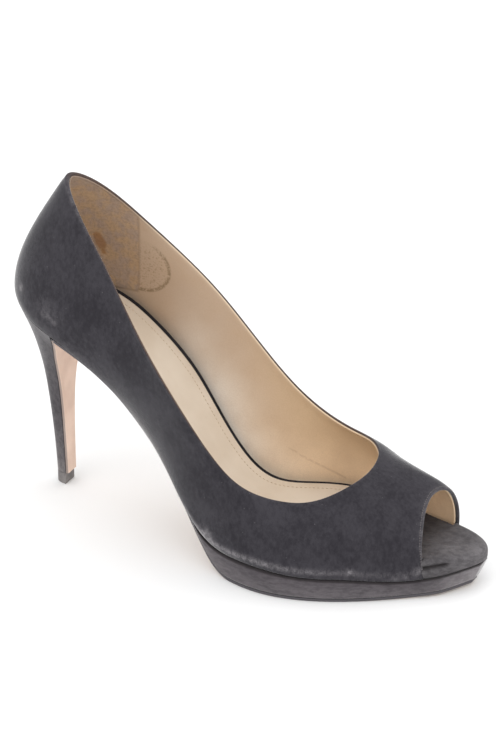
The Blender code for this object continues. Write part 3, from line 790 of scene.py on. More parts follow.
def upper_surface():
    """Grid of points on the outside of the upper: columns round the shoe, rows from edge to topline."""
    places, arch, tops, springs, falls = upper_ribs()
    u = np.arange(len(tops) * RIB_STEPS) / RIB_STEPS
    on_sole = u <= ARCH_START
    foot = np.empty((len(u), 3))
    w = spline(np.arange(len(places)), places)(u[on_sole])[:, 0]
    foot[on_sole] = feather(w)[0]
    foot[~on_sole] = arch((u[~on_sole] - ARCH_START) / (ARCH_END - ARCH_START))
    top = closed_by_rib(tops)(u)
    low = foot + closed_by_rib(springs)(u)
    fair = closed_by_rib(low[::RIB_STEPS])(u)
    near_corner = 1 - smoothstep(CORNER_EASE, np.abs(u - ARCH_START))
    low += near_corner[:, None] * (fair - low)
    high = top + closed_by_rib(falls)(u)
    v = np.linspace(0, 1, RIB_SAMPLES)[:, None, None]
    grid = (1 - v) ** 3 * foot + 3 * v * (1 - v) ** 2 * low + 3 * v * v * (1 - v) * high + v**3 * top
    return u, grid


def seam_roll(foot):
    """How far the upper rolls out over the points of its lower edge."""
    x, lateral, medial = np.array([row[1:] for row in SEAM_ROLL]).T
    return np.where(foot[:, 1] < 0, np.interp(foot[:, 0], x, lateral), np.interp(foot[:, 0], x, medial))


class Wall:
    """The outside of the upper with its outward direction, to be read along each rib by length. Arch is 1
    on the ribs that start on the edge of the peep opening, and 0 on those that start on the sole."""

    def __init__(self):
        self.u, self.grid = upper_surface()
        self.arch = smoothstep(ARCH_BEGINS, self.u) * (1 - smoothstep(ARCH_STOPS, self.u))
        self.measure()
        self.grid = self.grid + self.out * self.relief()[..., None]
        self.measure()

    def measure(self):
        """Outward directions, and lengths along the ribs."""
        round_way = np.roll(self.grid, -1, axis=1) - np.roll(self.grid, 1, axis=1)
        self.out = unit(np.cross(np.gradient(self.grid, axis=0), round_way))
        if ((self.grid - WALL_MIDDLE) * self.out).sum() < 0:
            self.out = -self.out
        steps = np.linalg.norm(np.diff(self.grid, axis=0), axis=2)
        self.run = np.concatenate([np.zeros((1, len(self.u))), np.cumsum(steps, axis=0)])
        self.length = self.run[-1]

    def relief(self):
        """The wall rolls out over its seam with the sole, and turns in at the topline, most at the back."""
        roll = seam_roll(self.grid[0]) * (1 - self.arch)
        height = self.run / ROLL_HEIGHT
        turn = TOP_TURN + (BACK_TURN - TOP_TURN) * ridge(self.u, BACK_RIB, BACK_SPREAD)
        return roll * (height * np.exp(1 - height)) ** 2 - turn * ridge(self.run, self.length, TURN_REACH)

    def read(self, lengths):
        """Points and outward directions at lengths along the ribs, given as rows by columns."""
        points = np.empty(lengths.shape + (3,))
        out = np.empty_like(points)
        for c in range(lengths.shape[1]):
            points[:, c] = read_along(lengths[:, c], self.run[:, c], self.grid[:, c])
            out[:, c] = read_along(lengths[:, c], self.run[:, c], self.out[:, c])
        return points, unit(out)

    def pad(self, lengths):
        """Padding in the wall: at the back of the topline, and at the edge of the peep opening."""
        back = ridge(self.u, BACK_RIB, BACK_SPREAD) * ridge(lengths, self.length, PAD_REACH)
        return BACK_PAD * back + PEEP_PAD * self.arch * ridge(lengths, 0, PAD_REACH)

    def shell(self, outer, inner, foot_margin, top_margin):
        """Closed sheet of the wall between two depths, which are functions of the length along the rib,
        round at its foot and at its top. Returns points, faces, and for each point that length."""
        foot_radius = (inner(self.run[:1]) - outer(self.run[:1]))[0] / 2
        top_radius = (inner(self.run[-1:]) - outer(self.run[-1:]))[0] / 2
        low = foot_margin + foot_radius
        high = self.length - top_margin - top_radius
        share = np.linspace(0, 1, WALL_ROWS)
        share = share - ROW_CROWDING * np.sin(2 * np.pi * share)
        lengths = low + (high - low) * share[:, None]
        points, out = self.read(lengths)
        rib_way = unit(np.gradient(points, axis=0))
        outside = points - out * outer(lengths)[..., None]
        inside = points - out * inner(lengths)[..., None]
        turn = np.linspace(0, np.pi, ROLL_ROWS + 2)[1:-1, None, None]
        rolls = []
        for row, way, radius in ((-1, rib_way[-1], top_radius), (0, -rib_way[0], foot_radius)):
            middle = (outside[row] + inside[row]) / 2
            rolls.append(middle + radius[:, None] * (np.cos(turn) * out[row] + np.sin(turn) * way))
        rows = np.concatenate([outside, rolls[0], inside[::-1], rolls[1][::-1]])
        index = np.arange(rows[..., 0].size).reshape(rows.shape[:2])
        faces = quads(ring_round(ring_round(index, 0), 1))
        ends = [np.repeat(end[None], ROLL_ROWS, axis=0) for end in (high, low)]
        return rows.reshape(-1, 3), faces, np.concatenate([lengths, ends[0], lengths[::-1], ends[1]])


def stitches(path, up, length, pitch, radius):
    """Short threads along a path that lie on the surface whose outward direction is up."""
    run = chords(path)
    around = np.linspace(0, 2 * np.pi, STITCH_SIDES, endpoint=False)[None, :, None]
    along = np.linspace(-1, 1, STITCH_RINGS)
    bow = np.sqrt(1 - along**2)
    thick = radius * (1 - STITCH_TAPER * (1 - bow))
    numbers = np.arange(STITCH_RINGS * STITCH_SIDES).reshape(STITCH_RINGS, STITCH_SIDES)
    points = []
    faces = []
    for middle in np.arange(pitch, run[-1] - pitch, pitch):
        spots = middle + along * length / 2
        centre = read_along(spots, run, path)
        lift = unit(read_along(spots, run, up))
        side = unit(np.cross(unit(np.gradient(centre, axis=0)), lift))
        centre = centre + lift * (radius * (bow - STITCH_SINK) * STITCH_BOW)[:, None]
        spokes = np.cos(around) * side[:, None] + np.sin(around) * lift[:, None]
        index = len(points) * numbers.size + numbers
        points.append((centre[:, None] + thick[:, None, None] * spokes).reshape(-1, 3))
        faces += quads(ring_round(index, 1)) + index[[0, -1]].tolist()
    return np.concatenate(points), faces


# Heel.


def heel_rings():
    """Rings of the heel from the lift up to the seat."""
    turn = np.linspace(-np.pi / 2, np.pi / 2, HEEL_POINTS)
    back = np.cos(turn) ** HEEL_SQUARENESS
    across = np.sign(turn) * np.abs(np.sin(turn)) ** HEEL_SQUARENESS
    keys = []
    for _, back_x, back_z, breast_x, breast_z, half in HEEL_SECTIONS:
        x = breast_x + (back_x - breast_x) * back
        z = breast_z + (back_z - breast_z) * back
        keys.append(np.column_stack([x, half * across, z]))
    low, high, rear, _ = edges(HEEL_INSET)
    x = BREAST_LINE + (rear + SEAT_BACK - BREAST_LINE) * np.cos(turn)
    y = np.where(turn < 0, low(x), high(x))
    keys.append(bed(x, y, insole_under(x) + GAP))
    last = len(keys) - 1
    t = np.linspace(0, last, last * HEEL_STEPS + 1)
    return spline(np.arange(last + 1), keys)(t).reshape(len(t), HEEL_POINTS, 3)


def as_loops(rings):
    """Rings that run from the lateral breast corner round the back, as loops that start at the back."""
    middle = HEEL_POINTS // 2
    return np.concatenate([rings[:, middle::-1], rings[:, : middle - 1 : -1]], axis=1)


# Materials.


class Look:
    """A material being wired: helpers make nodes and give back the socket to link on."""

    def __init__(self, name, inputs):
        self.material = bpy.data.materials.new(name)
        self.material.use_nodes = True
        self.tree = self.material.node_tree
        self.shader = self.tree.nodes["Principled BSDF"]
        for socket, value in inputs.items():
            self.shader.inputs[socket].default_value = value
        self.place = self.tree.nodes.new("ShaderNodeTexCoord").outputs["Object"]
        self.normal = None

    def node(self, kind, inputs, **settings):
        node = self.tree.nodes.new(kind)
        for setting, value in settings.items():
            setattr(node, setting, value)
        for socket, value in inputs.items():
            if isinstance(value, bpy.types.NodeSocket):
                self.tree.links.new(value, node.inputs[socket])
            else:
                node.inputs[socket].default_value = value
        return node

    def noise(self, size, detail=2.0, rough=0.5, stretch=None):
        """Soft noise whose features are about size millimetres across."""
        place = self.place
        if stretch:
            place = self.node("ShaderNodeMapping", {"Vector": place, "Scale": stretch}).outputs["Vector"]
        inputs = {"Vector": place, "Scale": 1 / (size * MM), "Detail": detail, "Roughness": rough}
        return self.node("ShaderNodeTexNoise", inputs).outputs["Fac"]

    def cells(self, size):
        """Distance to the nearest of scattered points, about size millimetres apart."""
        inputs = {"Vector": self.place, "Scale": 1 / (size * MM)}
        return self.node("ShaderNodeTexVoronoi", inputs).outputs["Distance"]

    def value(self, name):
        return self.node("ShaderNodeAttribute", {}, attribute_name=name).outputs["Fac"]

    def span(self, fac, low, high, to_low=0.0, to_high=1.0):
        """Maps low..high of a value softly to another range."""
        inputs = {"Value": fac, "From Min": low, "From Max": high, "To Min": to_low, "To Max": to_high}
        return self.node("ShaderNodeMapRange", inputs, interpolation_type="SMOOTHSTEP").outputs["Result"]

    def math(self, operation, a, b=0.0):
        return self.node("ShaderNodeMath", {0: a, 1: b}, operation=operation).outputs["Value"]

    def times(self, a, b):
        return self.math("MULTIPLY", a, b)

    def mix(self, fac, a, b):
        """Colour from a to b as fac goes from 0 to 1. The node's colour sockets go by number."""
        return self.node("ShaderNodeMix", {0: fac, 6: a, 7: b}, data_type="RGBA").outputs[2]

    def tint(self, colour, tone, fac, *span):
        """Colour with a tone over it, as strong as fac is when it is mapped by the span."""
        return self.mix(self.span(fac, *span), colour, tone)

    def bump(self, height, distance, strength):
        """Adds relief of distance millimetres."""
        inputs = {"Height": height, "Distance": distance * MM, "Strength": strength}
        if self.normal is not None:
            inputs["Normal"] = self.normal
        self.normal = self.node("ShaderNodeBump", inputs).outputs["Normal"]

    def done(self, colour, roughness=None):
        for socket, value in (("Base Color", colour), ("Roughness", roughness), ("Normal", self.normal)):
            if value is not None:
                self.tree.links.new(value, self.shader.inputs[socket])
        return self.material


def srgb(red, green, blue):
    """Linear colour of 8-bit screen values."""
    values = np.array([red, green, blue]) / 255
    linear = np.where(values <= 0.04045, values / 12.92, ((values + 0.055) / 1.055) ** 2.4)
    return (*linear.tolist(), 1.0)


BARE_EDGE = srgb(104, 84, 72)
# Colour of painted shade, in the slot at the toe and under the insole's edge.
PAINTED_SHADE = srgb(30, 26, 26)
PAINTED_EDGE = srgb(80, 77, 81)
UP_STROKES = (1.2, 1.2, 0.8)
LONG_STROKES = (0.5, 0.7, 1.5)

# Suedes: deep, pale and worn tone, stretch of the strokes, sheen, and how much rub the nap keeps.
SUEDES = {
    "upper_suede": (srgb(43, 41, 46), srgb(60, 58, 63), srgb(150, 146, 149), UP_STROKES, 0.9, 0.4),
    "insole_suede": (srgb(39, 37, 40), srgb(55, 52, 55), srgb(152, 148, 150), LONG_STROKES, 0.25, 0.7),
    "platform_suede": (srgb(58, 54, 58), srgb(80, 75, 79), srgb(150, 145, 147), LONG_STROKES, 0.9, 0.7),
    "heel_suede": (srgb(54, 52, 56), srgb(76, 73, 77), srgb(156, 150, 149), UP_STROKES, 0.6, 0.7),
}

# Specks of lint on suede: spacing and strength.
LINT = ((4.2, 0.25), (2.3, 0.1))


def suede_look(name):
    """Napped suede: brushed patches, short fibres, specks of lint, and wear and painted shade read from the
    mesh.
    """
    deep, pale, worn, stretch, sheen, whole = SUEDES[name]
    inputs = {"Roughness": 0.95, "Specular IOR Level": 0.12, "Sheen Weight": sheen, "Sheen Roughness": 0.3}
    look = Look(name, inputs)
    patches = look.noise(20, detail=4, rough=0.6)
    strokes = look.noise(2.4, detail=4, rough=0.65, stretch=stretch)
    fibres = look.noise(0.45, rough=0.7)
    nap = look.math("ADD", look.times(patches, 0.55), look.times(strokes, 0.45))
    colour = look.tint(deep, pale, nap, 0.34, 0.66)
    grain = look.span(fibres, 0.35, 0.7, whole, 1.0)
    # Rub lightens towards the worn tone; on the upper it also holds a painted highlight and painted sheen.
    rub = look.times(look.value("rub"), look.span(strokes, 0.35, 0.6, whole, 1.1))
    colour = look.mix(look.times(rub, grain), colour, worn)
    colour = look.mix(look.times(look.value("bare"), grain), colour, BARE_EDGE)
    for spacing, strength in LINT:
        colour = look.tint(colour, worn, look.cells(spacing), 0.02, 0.07, strength, 0.0)
    # Painted shade, as strong as the mesh's shade value.
    colour = look.mix(look.value("painted_shade"), colour, PAINTED_SHADE)
    look.bump(fibres, 0.2, 0.5)
    look.bump(strokes, 0.15, 0.25)
    return look.done(colour)


def lining_look():
    """Kid leather that goes from grey beige to tan, paled by painted light low on the wall and at the toe,
    with what a heel grip left behind at the back.
    """
    look = Look("lining_leather", {"Specular IOR Level": 0.3})
    cloud = look.noise(16, detail=3)
    mottle = look.noise(1.3, detail=5, rough=0.7)
    blotch = look.noise(7, detail=3, rough=0.6)
    crumbs = look.noise(1.0, detail=3, rough=0.6)
    tone = look.value("tone")
    colour = look.mix(tone, srgb(196, 173, 150), srgb(207, 179, 144))
    # Painted light: paler colour low on the wall and at the toe, as strong as the mesh's low value.
    low = look.mix(tone, srgb(248, 240, 228), srgb(250, 222, 188))
    colour = look.mix(look.value("low"), colour, low)
    colour = look.tint(colour, srgb(192, 162, 130), cloud, 0.35, 0.7, 0.0, 0.25)
    colour = look.tint(colour, srgb(160, 128, 98), look.noise(0.5), 0.35, 0.7, 0.0, 0.12)
    colour = look.tint(colour, srgb(168, 134, 100), look.value("seam"), 0.2, 0.9, 0.28, 0.0)
    patch = look.value("patch")
    inside = look.span(patch, -0.4, 0.4)
    glue = look.tint(srgb(190, 160, 127), srgb(173, 152, 136), blotch, 0.38, 0.62)
    glue = look.tint(glue, srgb(150, 132, 116), mottle, 0.42, 0.7, 0.0, 0.65)
    colour = look.mix(look.times(inside, look.span(mottle, 0.3, 0.6, 0.7, 1.0)), colour, glue)
    colour = look.tint(colour, srgb(132, 108, 88), look.math("ABSOLUTE", patch), 0.1, 1.0, 0.35, 0.0)
    ring = look.value("ring")
    shown = look.times(look.math("SUBTRACT", 1.0, inside), look.value("mark"))
    line = look.times(shown, look.span(look.math("ABSOLUTE", ring), 0.3, 1.4, 0.75, 0.0))
    line = look.times(line, look.span(crumbs, 0.38, 0.56, 0.15, 1.0))
    colour = look.mix(line, colour, srgb(132, 112, 84))
    within = look.times(shown, look.span(ring, -1.5, 0.5, 0.5, 0.0))
    within = look.times(within, look.span(crumbs, 0.52, 0.64))
    colour = look.mix(within, colour, srgb(146, 122, 92))
    colour = look.tint(colour, srgb(152, 106, 60), look.value("stain"), 0.25, 0.6, 0.0, 0.65)
    colour = look.mix(look.value("edge"), colour, srgb(224, 204, 178))
    colour = look.mix(look.value("soil"), colour, srgb(104, 86, 72))
    look.bump(look.cells(0.75), 0.05, 0.5)
    look.bump(look.times(mottle, inside), 0.25, 0.6)
    look.bump(cloud, 0.5, 0.3)
    return look.done(colour, look.span(cloud, 0.3, 0.7, 0.5, 0.66))


def sock_look():
    look = Look("sock_leather", {"Specular IOR Level": 0.4})
    cloud = look.noise(22, detail=3)
    spots = look.noise(3.0, detail=4, rough=0.65)
    colour = look.tint(srgb(214, 201, 184), srgb(205, 190, 171), cloud, 0.3, 0.7)
    colour = look.tint(colour, srgb(198, 178, 156), spots, 0.6, 0.8, 0.0, 0.35)
    look.bump(look.cells(0.6), 0.035, 0.5)
    look.bump(spots, 0.12, 0.25)
    return look.done(colour, look.span(cloud, 0.3, 0.7, 0.38, 0.52))


def painted_leather(name, light, dark):
    """Smooth leather with fine scratches, painted dark where the mesh says that it is an edge."""
    look = Look(name, {"Specular IOR Level": 0.4})
    marks = look.noise(2.5, detail=5, rough=0.7, stretch=(0.3, 1.4, 1.0))
    colour = look.tint(light, dark, look.noise(12, detail=4), 0.3, 0.7)
    colour = look.tint(colour, dark, marks, 0.58, 0.78, 0.0, 0.3)
    colour = look.mix(look.value("edge"), colour, PAINTED_EDGE)
    look.bump(look.cells(0.5), 0.03, 0.5)
    look.bump(marks, 0.1, 0.25)
    return look.done(colour, look.span(marks, 0.3, 0.7, 0.4, 0.58))


def rubber_look():
    look = Look("lift_rubber", {"Specular IOR Level": 0.4})
    wear = look.noise(1.5, detail=4, rough=0.7)
    colour = look.tint(srgb(104, 100, 100), srgb(132, 127, 125), look.noise(5, detail=3), 0.3, 0.7)
    colour = look.tint(colour, srgb(168, 162, 158), wear, 0.6, 0.75, 0.0, 0.5)
    look.bump(wear, 0.12, 0.4)
    return look.done(colour, look.span(wear, 0.3, 0.7, 0.5, 0.7))


def thread_look(name, light, dark):
    look = Look(name, {"Roughness": 0.8, "Specular IOR Level": 0.25, "Sheen Weight": 0.2})
    ply = look.noise(0.35, detail=1, stretch=(1.0, 1.0, 2.0))
    look.bump(ply, 0.08, 0.6)
    return look.done(look.tint(light, dark, ply, 0.3, 0.7))


def floor_look():
    look = Look("pale_floor", {"Roughness": 0.8, "Specular IOR Level": 0.2})
    return look.done(look.mix(look.noise(400), (0.9, 0.9, 0.9, 1.0), (0.93, 0.93, 0.93, 1.0)))


# Pieces.


def photo_marks(points, faces, marks):
    """Strength, at the points of a mesh, of the round marks that the photograph shows on it."""
    tree = BVHTree.FromPolygons(points.tolist(), faces)
    strength = np.zeros(len(points))
    for pixel, radius, amount in marks:
        right, down = (np.array(pixel) - IMAGE / 2) / FOCAL_PX
        way = right * RIGHT - down * UPWARD - BACKWARD
        spot = np.array(tree.ray_cast(Vector(EYE), Vector(way))[0])
        strength += amount * ridge(np.linalg.norm(points - spot, axis=1), 0, radius)
    return strength


def set_rub(piece, rub):
    """Stores how rubbed the suede is, at most 1. On the upper it also holds a painted highlight and painted
    sheen.
    """
    set_values(piece, "rub", np.clip(rub, 0, 1))


def make_upper(wall):
    def inside(lengths):
        return SUEDE_WALL + wall.pad(lengths)

    points, faces, lengths = wall.shell(np.zeros_like, inside, 0, 0)
    look = suede_look("upper_suede")
    piece = add_piece("upper_suede", points, faces, look, ("upper",), sharp=80)
    from_top = wall.length - lengths
    foot = wall.grid[0]
    back = ridge(wall.u, *RUBBED_BACK)
    rub = (seam_roll(foot) * (1 - wall.arch)) ** 2 * ridge(lengths, ROLL_HEIGHT, ROLL_RUB_WIDTH)
    rub += edge_rub(SEAM_RUB, lengths) * (1 - wall.arch) + edge_rub(PEEP_RUB, lengths) * wall.arch
    rub += edge_rub(TOP_RUB, from_top) + edge_rub(BACK_RUB, from_top) * back
    # Lighter band along the waist's foot: dust and painted sheen.
    waist = smoothstep(WAIST_DUST_AND_SHEEN_BEGINS, foot[:, 0]) * (1 - smoothstep(WAIST_DUST_AND_SHEEN_STOPS, foot[:, 0]))
    rub += edge_rub(WAIST_DUST_AND_SHEEN, lengths) * waist
    # Rub, with the scuffs and the painted highlight above the heel seam.
    set_rub(piece, rub.ravel() + photo_marks(points, faces, SCUFFS_AND_HIGHLIGHTS))
    bare = np.zeros_like(lengths)
    bare[WALL_ROWS + BARE_ROW : WALL_ROWS + ROLL_ROWS] = BARE_TOP * (1 - back)
    set_values(piece, "bare", bare)


def make_lining(wall):
    """Lining of the wall. On the near side it ends lower below the topline."""

    def outside(lengths):
        return SUEDE_WALL + LINING_PLAY + wall.pad(lengths)

    def inside(lengths):
        return WALL + wall.pad(lengths)

    near = 1 - smoothstep(NEAR_SIDE_STOPS, wall.u) + smoothstep(NEAR_SIDE_BEGINS, wall.u)
    foot_margin = LINING_FOOT + LINING_ARCH * wall.arch
    points, faces, lengths = wall.shell(outside, inside, foot_margin, LINING_TOP + LINING_LOW * near)
    piece = add_piece("lining", points, faces, lining_look(), sharp=80)
    x, _, z = points.T.reshape(3, *lengths.shape)
    # Painted light, low on the wall from the waist forward.
    low = smoothstep(LINING_PAINTED_LIGHT_STARTS, x) * ridge(lengths, 0, PAINTED_LIGHT_REACH)
    (foot_x, foot_z), (top_x, top_z) = GRIP_EDGE
    grip_front = foot_x + (top_x - foot_x) * (z - foot_z) / (top_z - foot_z)
    (rear_x, rear_z), (front_x, front_z) = LINING_SEAM
    seam_z = rear_z + (front_z - rear_z) * (x - rear_x) / (front_x - rear_x)
    past_ends = np.abs(x - (rear_x + front_x) / 2) - (front_x - rear_x) / 2
    top_edge = np.exp(-(lengths.max(axis=0) - lengths) / EDGE_REACH)
    clean = smoothstep(EDGE_CLEANS, x) * (1 - near)
    values = {
        "tone": smoothstep(LINING_TANS, x),
        # Painted light, low on the wall and over the toe.
        "low": np.maximum(low, smoothstep(PAINTED_LIGHT_TOE, x)),
        "patch": np.minimum(grip_front - x, z - GRIP_FOOT),
        "ring": np.hypot(x - GRIP_MARK[0], z - GRIP_MARK[1]) - GRIP_MARK_RADIUS,
        "mark": 1 - smoothstep(GRIP_MARK_FADES, z),
        "seam": np.maximum(np.abs(z - seam_z), past_ends),
        "stain": np.clip(photo_marks(points, faces, STAINS), 0, 1),
        "edge": CLEAN_EDGE * top_edge * clean,
        "soil": SOILED_EDGE * top_edge * (1 - clean),
    }
    for name, numbers in values.items():
        set_values(piece, name, numbers)


def make_peep_stitches(wall):
    """Row of short threads just inside the edge of the peep opening."""
    on_edge = (wall.u >= ARCH_START) & (wall.u <= ARCH_END)
    points, out = wall.read(np.full((1, len(wall.u)), PEEP_SEAM))
    points, faces = stitches(points[0, on_edge], out[0, on_edge], *PEEP_STITCH)
    thread = thread_look("peep_thread", srgb(132, 125, 123), srgb(94, 89, 90))
    add_piece("peep_stitches", points, faces, thread)


INSOLE_INSET = feather_inset(RIM[:, 0]) + WALL + INSOLE_PLAY
INSOLE_BACK = edges(INSOLE_INSET)[2]


def insole_row(set_back, share, lipped, toe_back, toe_share):
    """Loop round the insole at one row of its edge, and the painted shade of its points in the slot."""
    step_at = PEEP_LINE - STEP_LEAN * (1 - toe_share)
    medial_step = (step_at + MEDIAL_STEP, step_at + MEDIAL_STEP + STEP_RUN)
    lateral_step = (step_at + LATERAL_STEP, step_at + LATERAL_STEP + STEP_RUN)
    vamp = VAMP_PLAY * smoothstep(VAMP_NARROWS, RIM[:, 0])
    low_in = edges(INSOLE_INSET + vamp + set_back)[0]
    high_in = edges(INSOLE_INSET + set_back)[1]
    low_out, high_out, _, front = edges(GAP + toe_back)
    back = INSOLE_BACK + set_back + INSOLE_BACK_GAP
    inside = stations(back, medial_step[0] - BEFORE_STEP, count=150, round_start=True)
    step = np.linspace(medial_step[0], lateral_step[1], num=25)
    toe = stations(lateral_step[1] + AFTER_STEP, front - TIP_GAP, count=50)
    xs = np.concatenate([inside, step, toe])
    toe_low = smoothstep(lateral_step, xs)
    slot = ridge(toe_share, SLOT_SHARE, SLOT_HALF) * (1 - smoothstep(SLOT_ENDS, xs))
    low = low_in(xs) + (low_out(xs) + SLOT * slot - low_in(xs)) * toe_low
    high = high_in(xs) + (high_out(xs) - high_in(xs)) * smoothstep(medial_step, xs)
    lip = LIP * lipped * (1 - smoothstep(SOCK_RUNS_OUT, xs))
    share = share - lip + (toe_share - share) * smoothstep(LIP_TO_TOE, xs)
    share = np.concatenate([share, share[::-1]])[:, None]
    loop = plan_loop(xs, low, high)
    top = bed(*loop.T, SOCK + GAP / 2)
    foot = bed(*loop.T, insole_under(loop[:, 0]))
    return top * (1 - share) + foot * share, np.concatenate([SLOT_SHADE * slot * toe_low, 0 * xs])


def make_insole():
    """Inside the wall the edge stands up as a lip round the sock; in front of the peep opening it is a
    soft round edge over the platform, with a short slot at the lateral corner that holds painted shade."""
    last = len(INSOLE_EDGE) - 1
    inner_rows = spline(np.arange(last + 1), INSOLE_EDGE)(np.linspace(0, last, INSOLE_ROWS))
    depth = INSOLE + TOE_PAD
    toe_edge = np.array(rounded(TOE_ROUND, depth, TOE_ROUND_STEPS)[:TOE_ROUND_STEPS] + list(TOE_EDGE))
    run = chords(toe_edge * (1, depth))
    toe_rows = spline(run, toe_edge)(np.linspace(0, run[-1], INSOLE_ROWS))
    rows, painted_shades = zip(*[insole_row(*inner, *toe) for inner, toe in zip(inner_rows, toe_rows)])
    points, faces, _ = stack(rows, across=24)
    look = suede_look("insole_suede")
    piece = add_piece("insole", points, faces, look, ("insole",), sharp=60)
    x = points[:, 0]
    rub = FLOOR_RUB + photo_marks(points, faces, BRUSH_MARKS) + ramp(FLOOR_TIP_RUB, x)
    set_rub(piece, rub * smoothstep(FLOOR_BEGINS, x))
    # Painted shade in the slot at the lateral toe corner.
    painted_shade = np.zeros(len(points))
    painted_shade[: np.size(painted_shades)] = np.ravel(painted_shades)
    set_values(piece, "painted_shade", painted_shade)


def make_sock():
    """Sock, and the row of stitches along its edge."""

    def loop_at(set_back, _):
        low, high, back, _ = edges(INSOLE_INSET + SOCK_RIM + set_back)
        xs = stations(back + SOCK_BACK_GAP, SOCK_FRONT - set_back, count=140, round_start=True)
        return plan_loop(xs, low(xs), high(xs))

    def top(at):
        return bed(*at.T, 0)

    def foot(at):
        return bed(*at.T, SOCK - GAP / 2)

    points, faces, _ = slab(loop_at, top, foot, rounded(SOCK_ROUND, SOCK - GAP / 2, steps=4), across=24)
    add_piece("sock", points, faces, sock_look(), ("sock",))
    line = loop_at(SEAM_INSET, 0)
    half = len(line) // 2
    line = np.concatenate([line[half + 1 :], line[: half - 1]])
    _, up = bed_frame(line[:, 0])
    up = np.column_stack([up[:, 0], np.zeros(len(up)), up[:, 1]])
    points, faces = stitches(top(line), up, *SOCK_STITCH)
    thread = thread_look("sock_thread", srgb(214, 196, 172), srgb(180, 158, 132))
    add_piece("sock_stitches", points, faces, thread)


def make_outsole():
    def loop_at(set_back, _):
        return sole_loop(sole_inset() + set_back, BREAST_LINE + GAP, before=70, after=90)

    def top(at):
        return sole_points(at, outsole_depth(at[:, 0]))

    def foot(at):
        return sole_points(at, 0)

    points, faces, index = slab(loop_at, top, foot, rounded(SOLE_ROUND, OUTSOLE, steps=3), across=20)
    look = painted_leather("sole_leather", srgb(200, 182, 166), srgb(172, 152, 136))
    piece = add_piece("outsole", points, faces, look, ("outsole",))
    painted = np.zeros(len(points))
    painted[index[:-1]] = 1
    set_values(piece, "edge", painted)


def make_platform():
    taper = PLATFORM_TAPER + TOE_UNDERCUT * smoothstep(TOE_TURNS_UNDER, RIM[:, 0])
    floor = sole_points(np.column_stack([ALONG, 0 * ALONG]), outsole_depth(ALONG) + GAP)

    def top(at):
        return np.column_stack([at[:, :2], np.interp(at[:, 0], UNDERSIDE[:, 0], UNDERSIDE[:, 2])])

    def foot(at):
        return np.column_stack([at[:, :2], np.interp(at[:, 0], floor[:, 0], floor[:, 2])])

    def loop_at(set_back, share):
        return sole_loop(platform_inset() + taper * share + set_back, PLATFORM_REAR, before=20, after=100)

    points, faces, _ = slab(loop_at, top, foot, rounded(PLATFORM_ROUND, PLATFORM_DEPTH, steps=7), across=20)
    look = suede_look("platform_suede")
    piece = add_piece("platform", points, faces, look, ("platform",), sharp=60)
    x, _, z = points.T
    share = (top(points)[:, 2] - z) / (top(points)[:, 2] - foot(points)[:, 2])
    rub = PLATFORM_RUB + ramp(PLATFORM_LOW_RUB, share)
    set_rub(piece, rub + ramp(PLATFORM_REAR_RUB, x) + ramp(PLATFORM_TOE_RUB, x))
    # Painted shade along the platform's top edge, under the insole's edge.
    set_values(piece, "painted_shade", ramp(PLATFORM_TOP_SHADE, share))


def make_heel(rings):
    points, faces, _ = stack(as_loops(rings)[::-1], across=10)
    piece = add_piece("heel", points, faces, suede_look("heel_suede"), ("heel",), sharp=50)
    z = points[:, 2]
    set_rub(piece, HEEL_RUB + ramp(HEEL_STEM_RUB, z) + ramp(HEEL_TIP_RUB, z))


def make_heel_breast(rings):
    """Strip in front of the heel, with eased front edges, painted at its sides, and at its top dark with
    edge paint and painted shadow of the seam.
    """
    middle = (rings[:, 0] + rings[:, -1]) / 2
    half = (rings[:, -1, 1] - rings[:, 0, 1]) / 2 - FACING_MARGIN
    run = chords(middle)
    along = run * (1 - FACING_STOP / run[-1])
    half = np.interp(along, run, half)
    middle = read_along(along, run, middle)
    way = np.gradient(middle, axis=0)
    ahead = unit(np.column_stack([way[:, 2], 0 * half, -way[:, 0]]))
    rows = []
    for back, front, reach in zip(middle + ahead * GAP, middle + ahead * (GAP + BREAST_FACING), half):
        eased = front - (front - back) * FACING_ROUND / BREAST_FACING
        wide = reach * SIDEWAYS
        narrow = (reach - FACING_ROUND) * SIDEWAYS
        rows.append([back - wide, eased - wide, front - narrow, front + narrow, eased + wide, back + wide])
    points, faces, index = stack(rows[::-1], across=6)
    look = painted_leather("nude_leather", srgb(240, 213, 195), srgb(226, 198, 180))
    piece = add_piece("heel_breast", points, faces, look, ("heel_breast",))
    # Top of the facing: dark edge paint and painted shadow of the seam above it.
    paint_and_shade = 1 - smoothstep(FACING_PAINT_AND_SHADE, BED_AT(points[:, 0])[:, 0] - points[:, 2])
    sides = index[:, [0, 1, -2, -1]]
    paint_and_shade[sides] = np.maximum(paint_and_shade[sides], FACING_SIDES)
    set_values(piece, "edge", paint_and_shade)


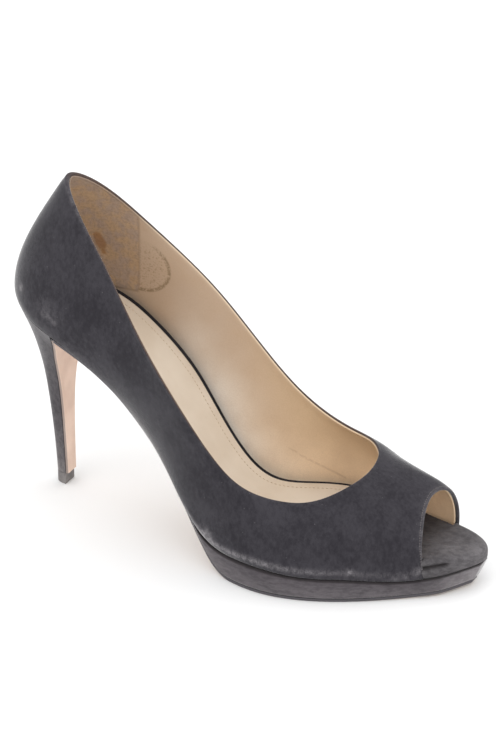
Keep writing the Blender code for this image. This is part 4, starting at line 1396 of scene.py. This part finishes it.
def make_top_lift(rings):
    loop = as_loops(rings)[0]
    inward = leftward(loop[:, :2])
    rows = []
    for set_back, share in rounded(LIFT_ROUND, LIFT_HEIGHT, steps=4):
        height = np.full(len(loop), LIFT_HEIGHT * (1 - share))
        rows.append(np.column_stack([loop[:, :2] + inward * set_back, height]))
    points, faces, _ = stack(rows, across=8)
    add_piece("top_lift", points, faces, rubber_look(), ("top_lift",))


WALL_SURFACE = Wall()
make_upper(WALL_SURFACE)
make_lining(WALL_SURFACE)
make_peep_stitches(WALL_SURFACE)
make_insole()
make_sock()
make_outsole()
make_platform()
HEEL_RINGS = heel_rings()
make_heel(HEEL_RINGS)
make_heel_breast(HEEL_RINGS)
make_top_lift(HEEL_RINGS)

# Stage, light and camera.
scene = bpy.context.scene
corners = [(x * FLOOR_HALF, y * FLOOR_HALF, 0) for x, y in ((-1, -1), (1, -1), (1, 1), (-1, 1))]
floor_mesh = bpy.data.meshes.new("floor")
floor_mesh.from_pydata(corners, [], [(0, 1, 2, 3)])
floor_mesh.materials.append(floor_look())
floor = bpy.data.objects.new("floor", floor_mesh)
scene.collection.objects.link(floor)

world = bpy.data.worlds.new("studio")
world.use_nodes = True
world.node_tree.nodes["Background"].inputs["Color"].default_value = (1, 1, 1, 1)
world.node_tree.nodes["Background"].inputs["Strength"].default_value = 1.0
scene.world = world
scene.view_settings.view_transform = "Standard"

for name, place, aim_height, size, power in LIGHTS:
    light_data = bpy.data.lights.new(name, "AREA")
    light_data.shape = "DISK"
    light_data.size = size
    light_data.energy = power
    light = bpy.data.objects.new(name, light_data)
    light.location = place
    way = Vector((0, 0, aim_height)) - Vector(place)
    light.rotation_euler = way.to_track_quat("-Z", "Y").to_euler()
    scene.collection.objects.link(light)

camera_data = bpy.data.cameras.new("camera")
camera_data.sensor_fit = "VERTICAL"
camera_data.sensor_height = SENSOR
camera_data.lens = FOCAL_PX / IMAGE[1] * SENSOR
camera = bpy.data.objects.new("camera", camera_data)
turned = Matrix(np.stack([RIGHT, UPWARD, BACKWARD], axis=1).tolist()).to_4x4()
camera.matrix_world = Matrix.Translation(Vector((EYE + SHIFT) * MM)) @ turned
scene.collection.objects.link(camera)
scene.camera = camera

bpy.context.view_layer.update()
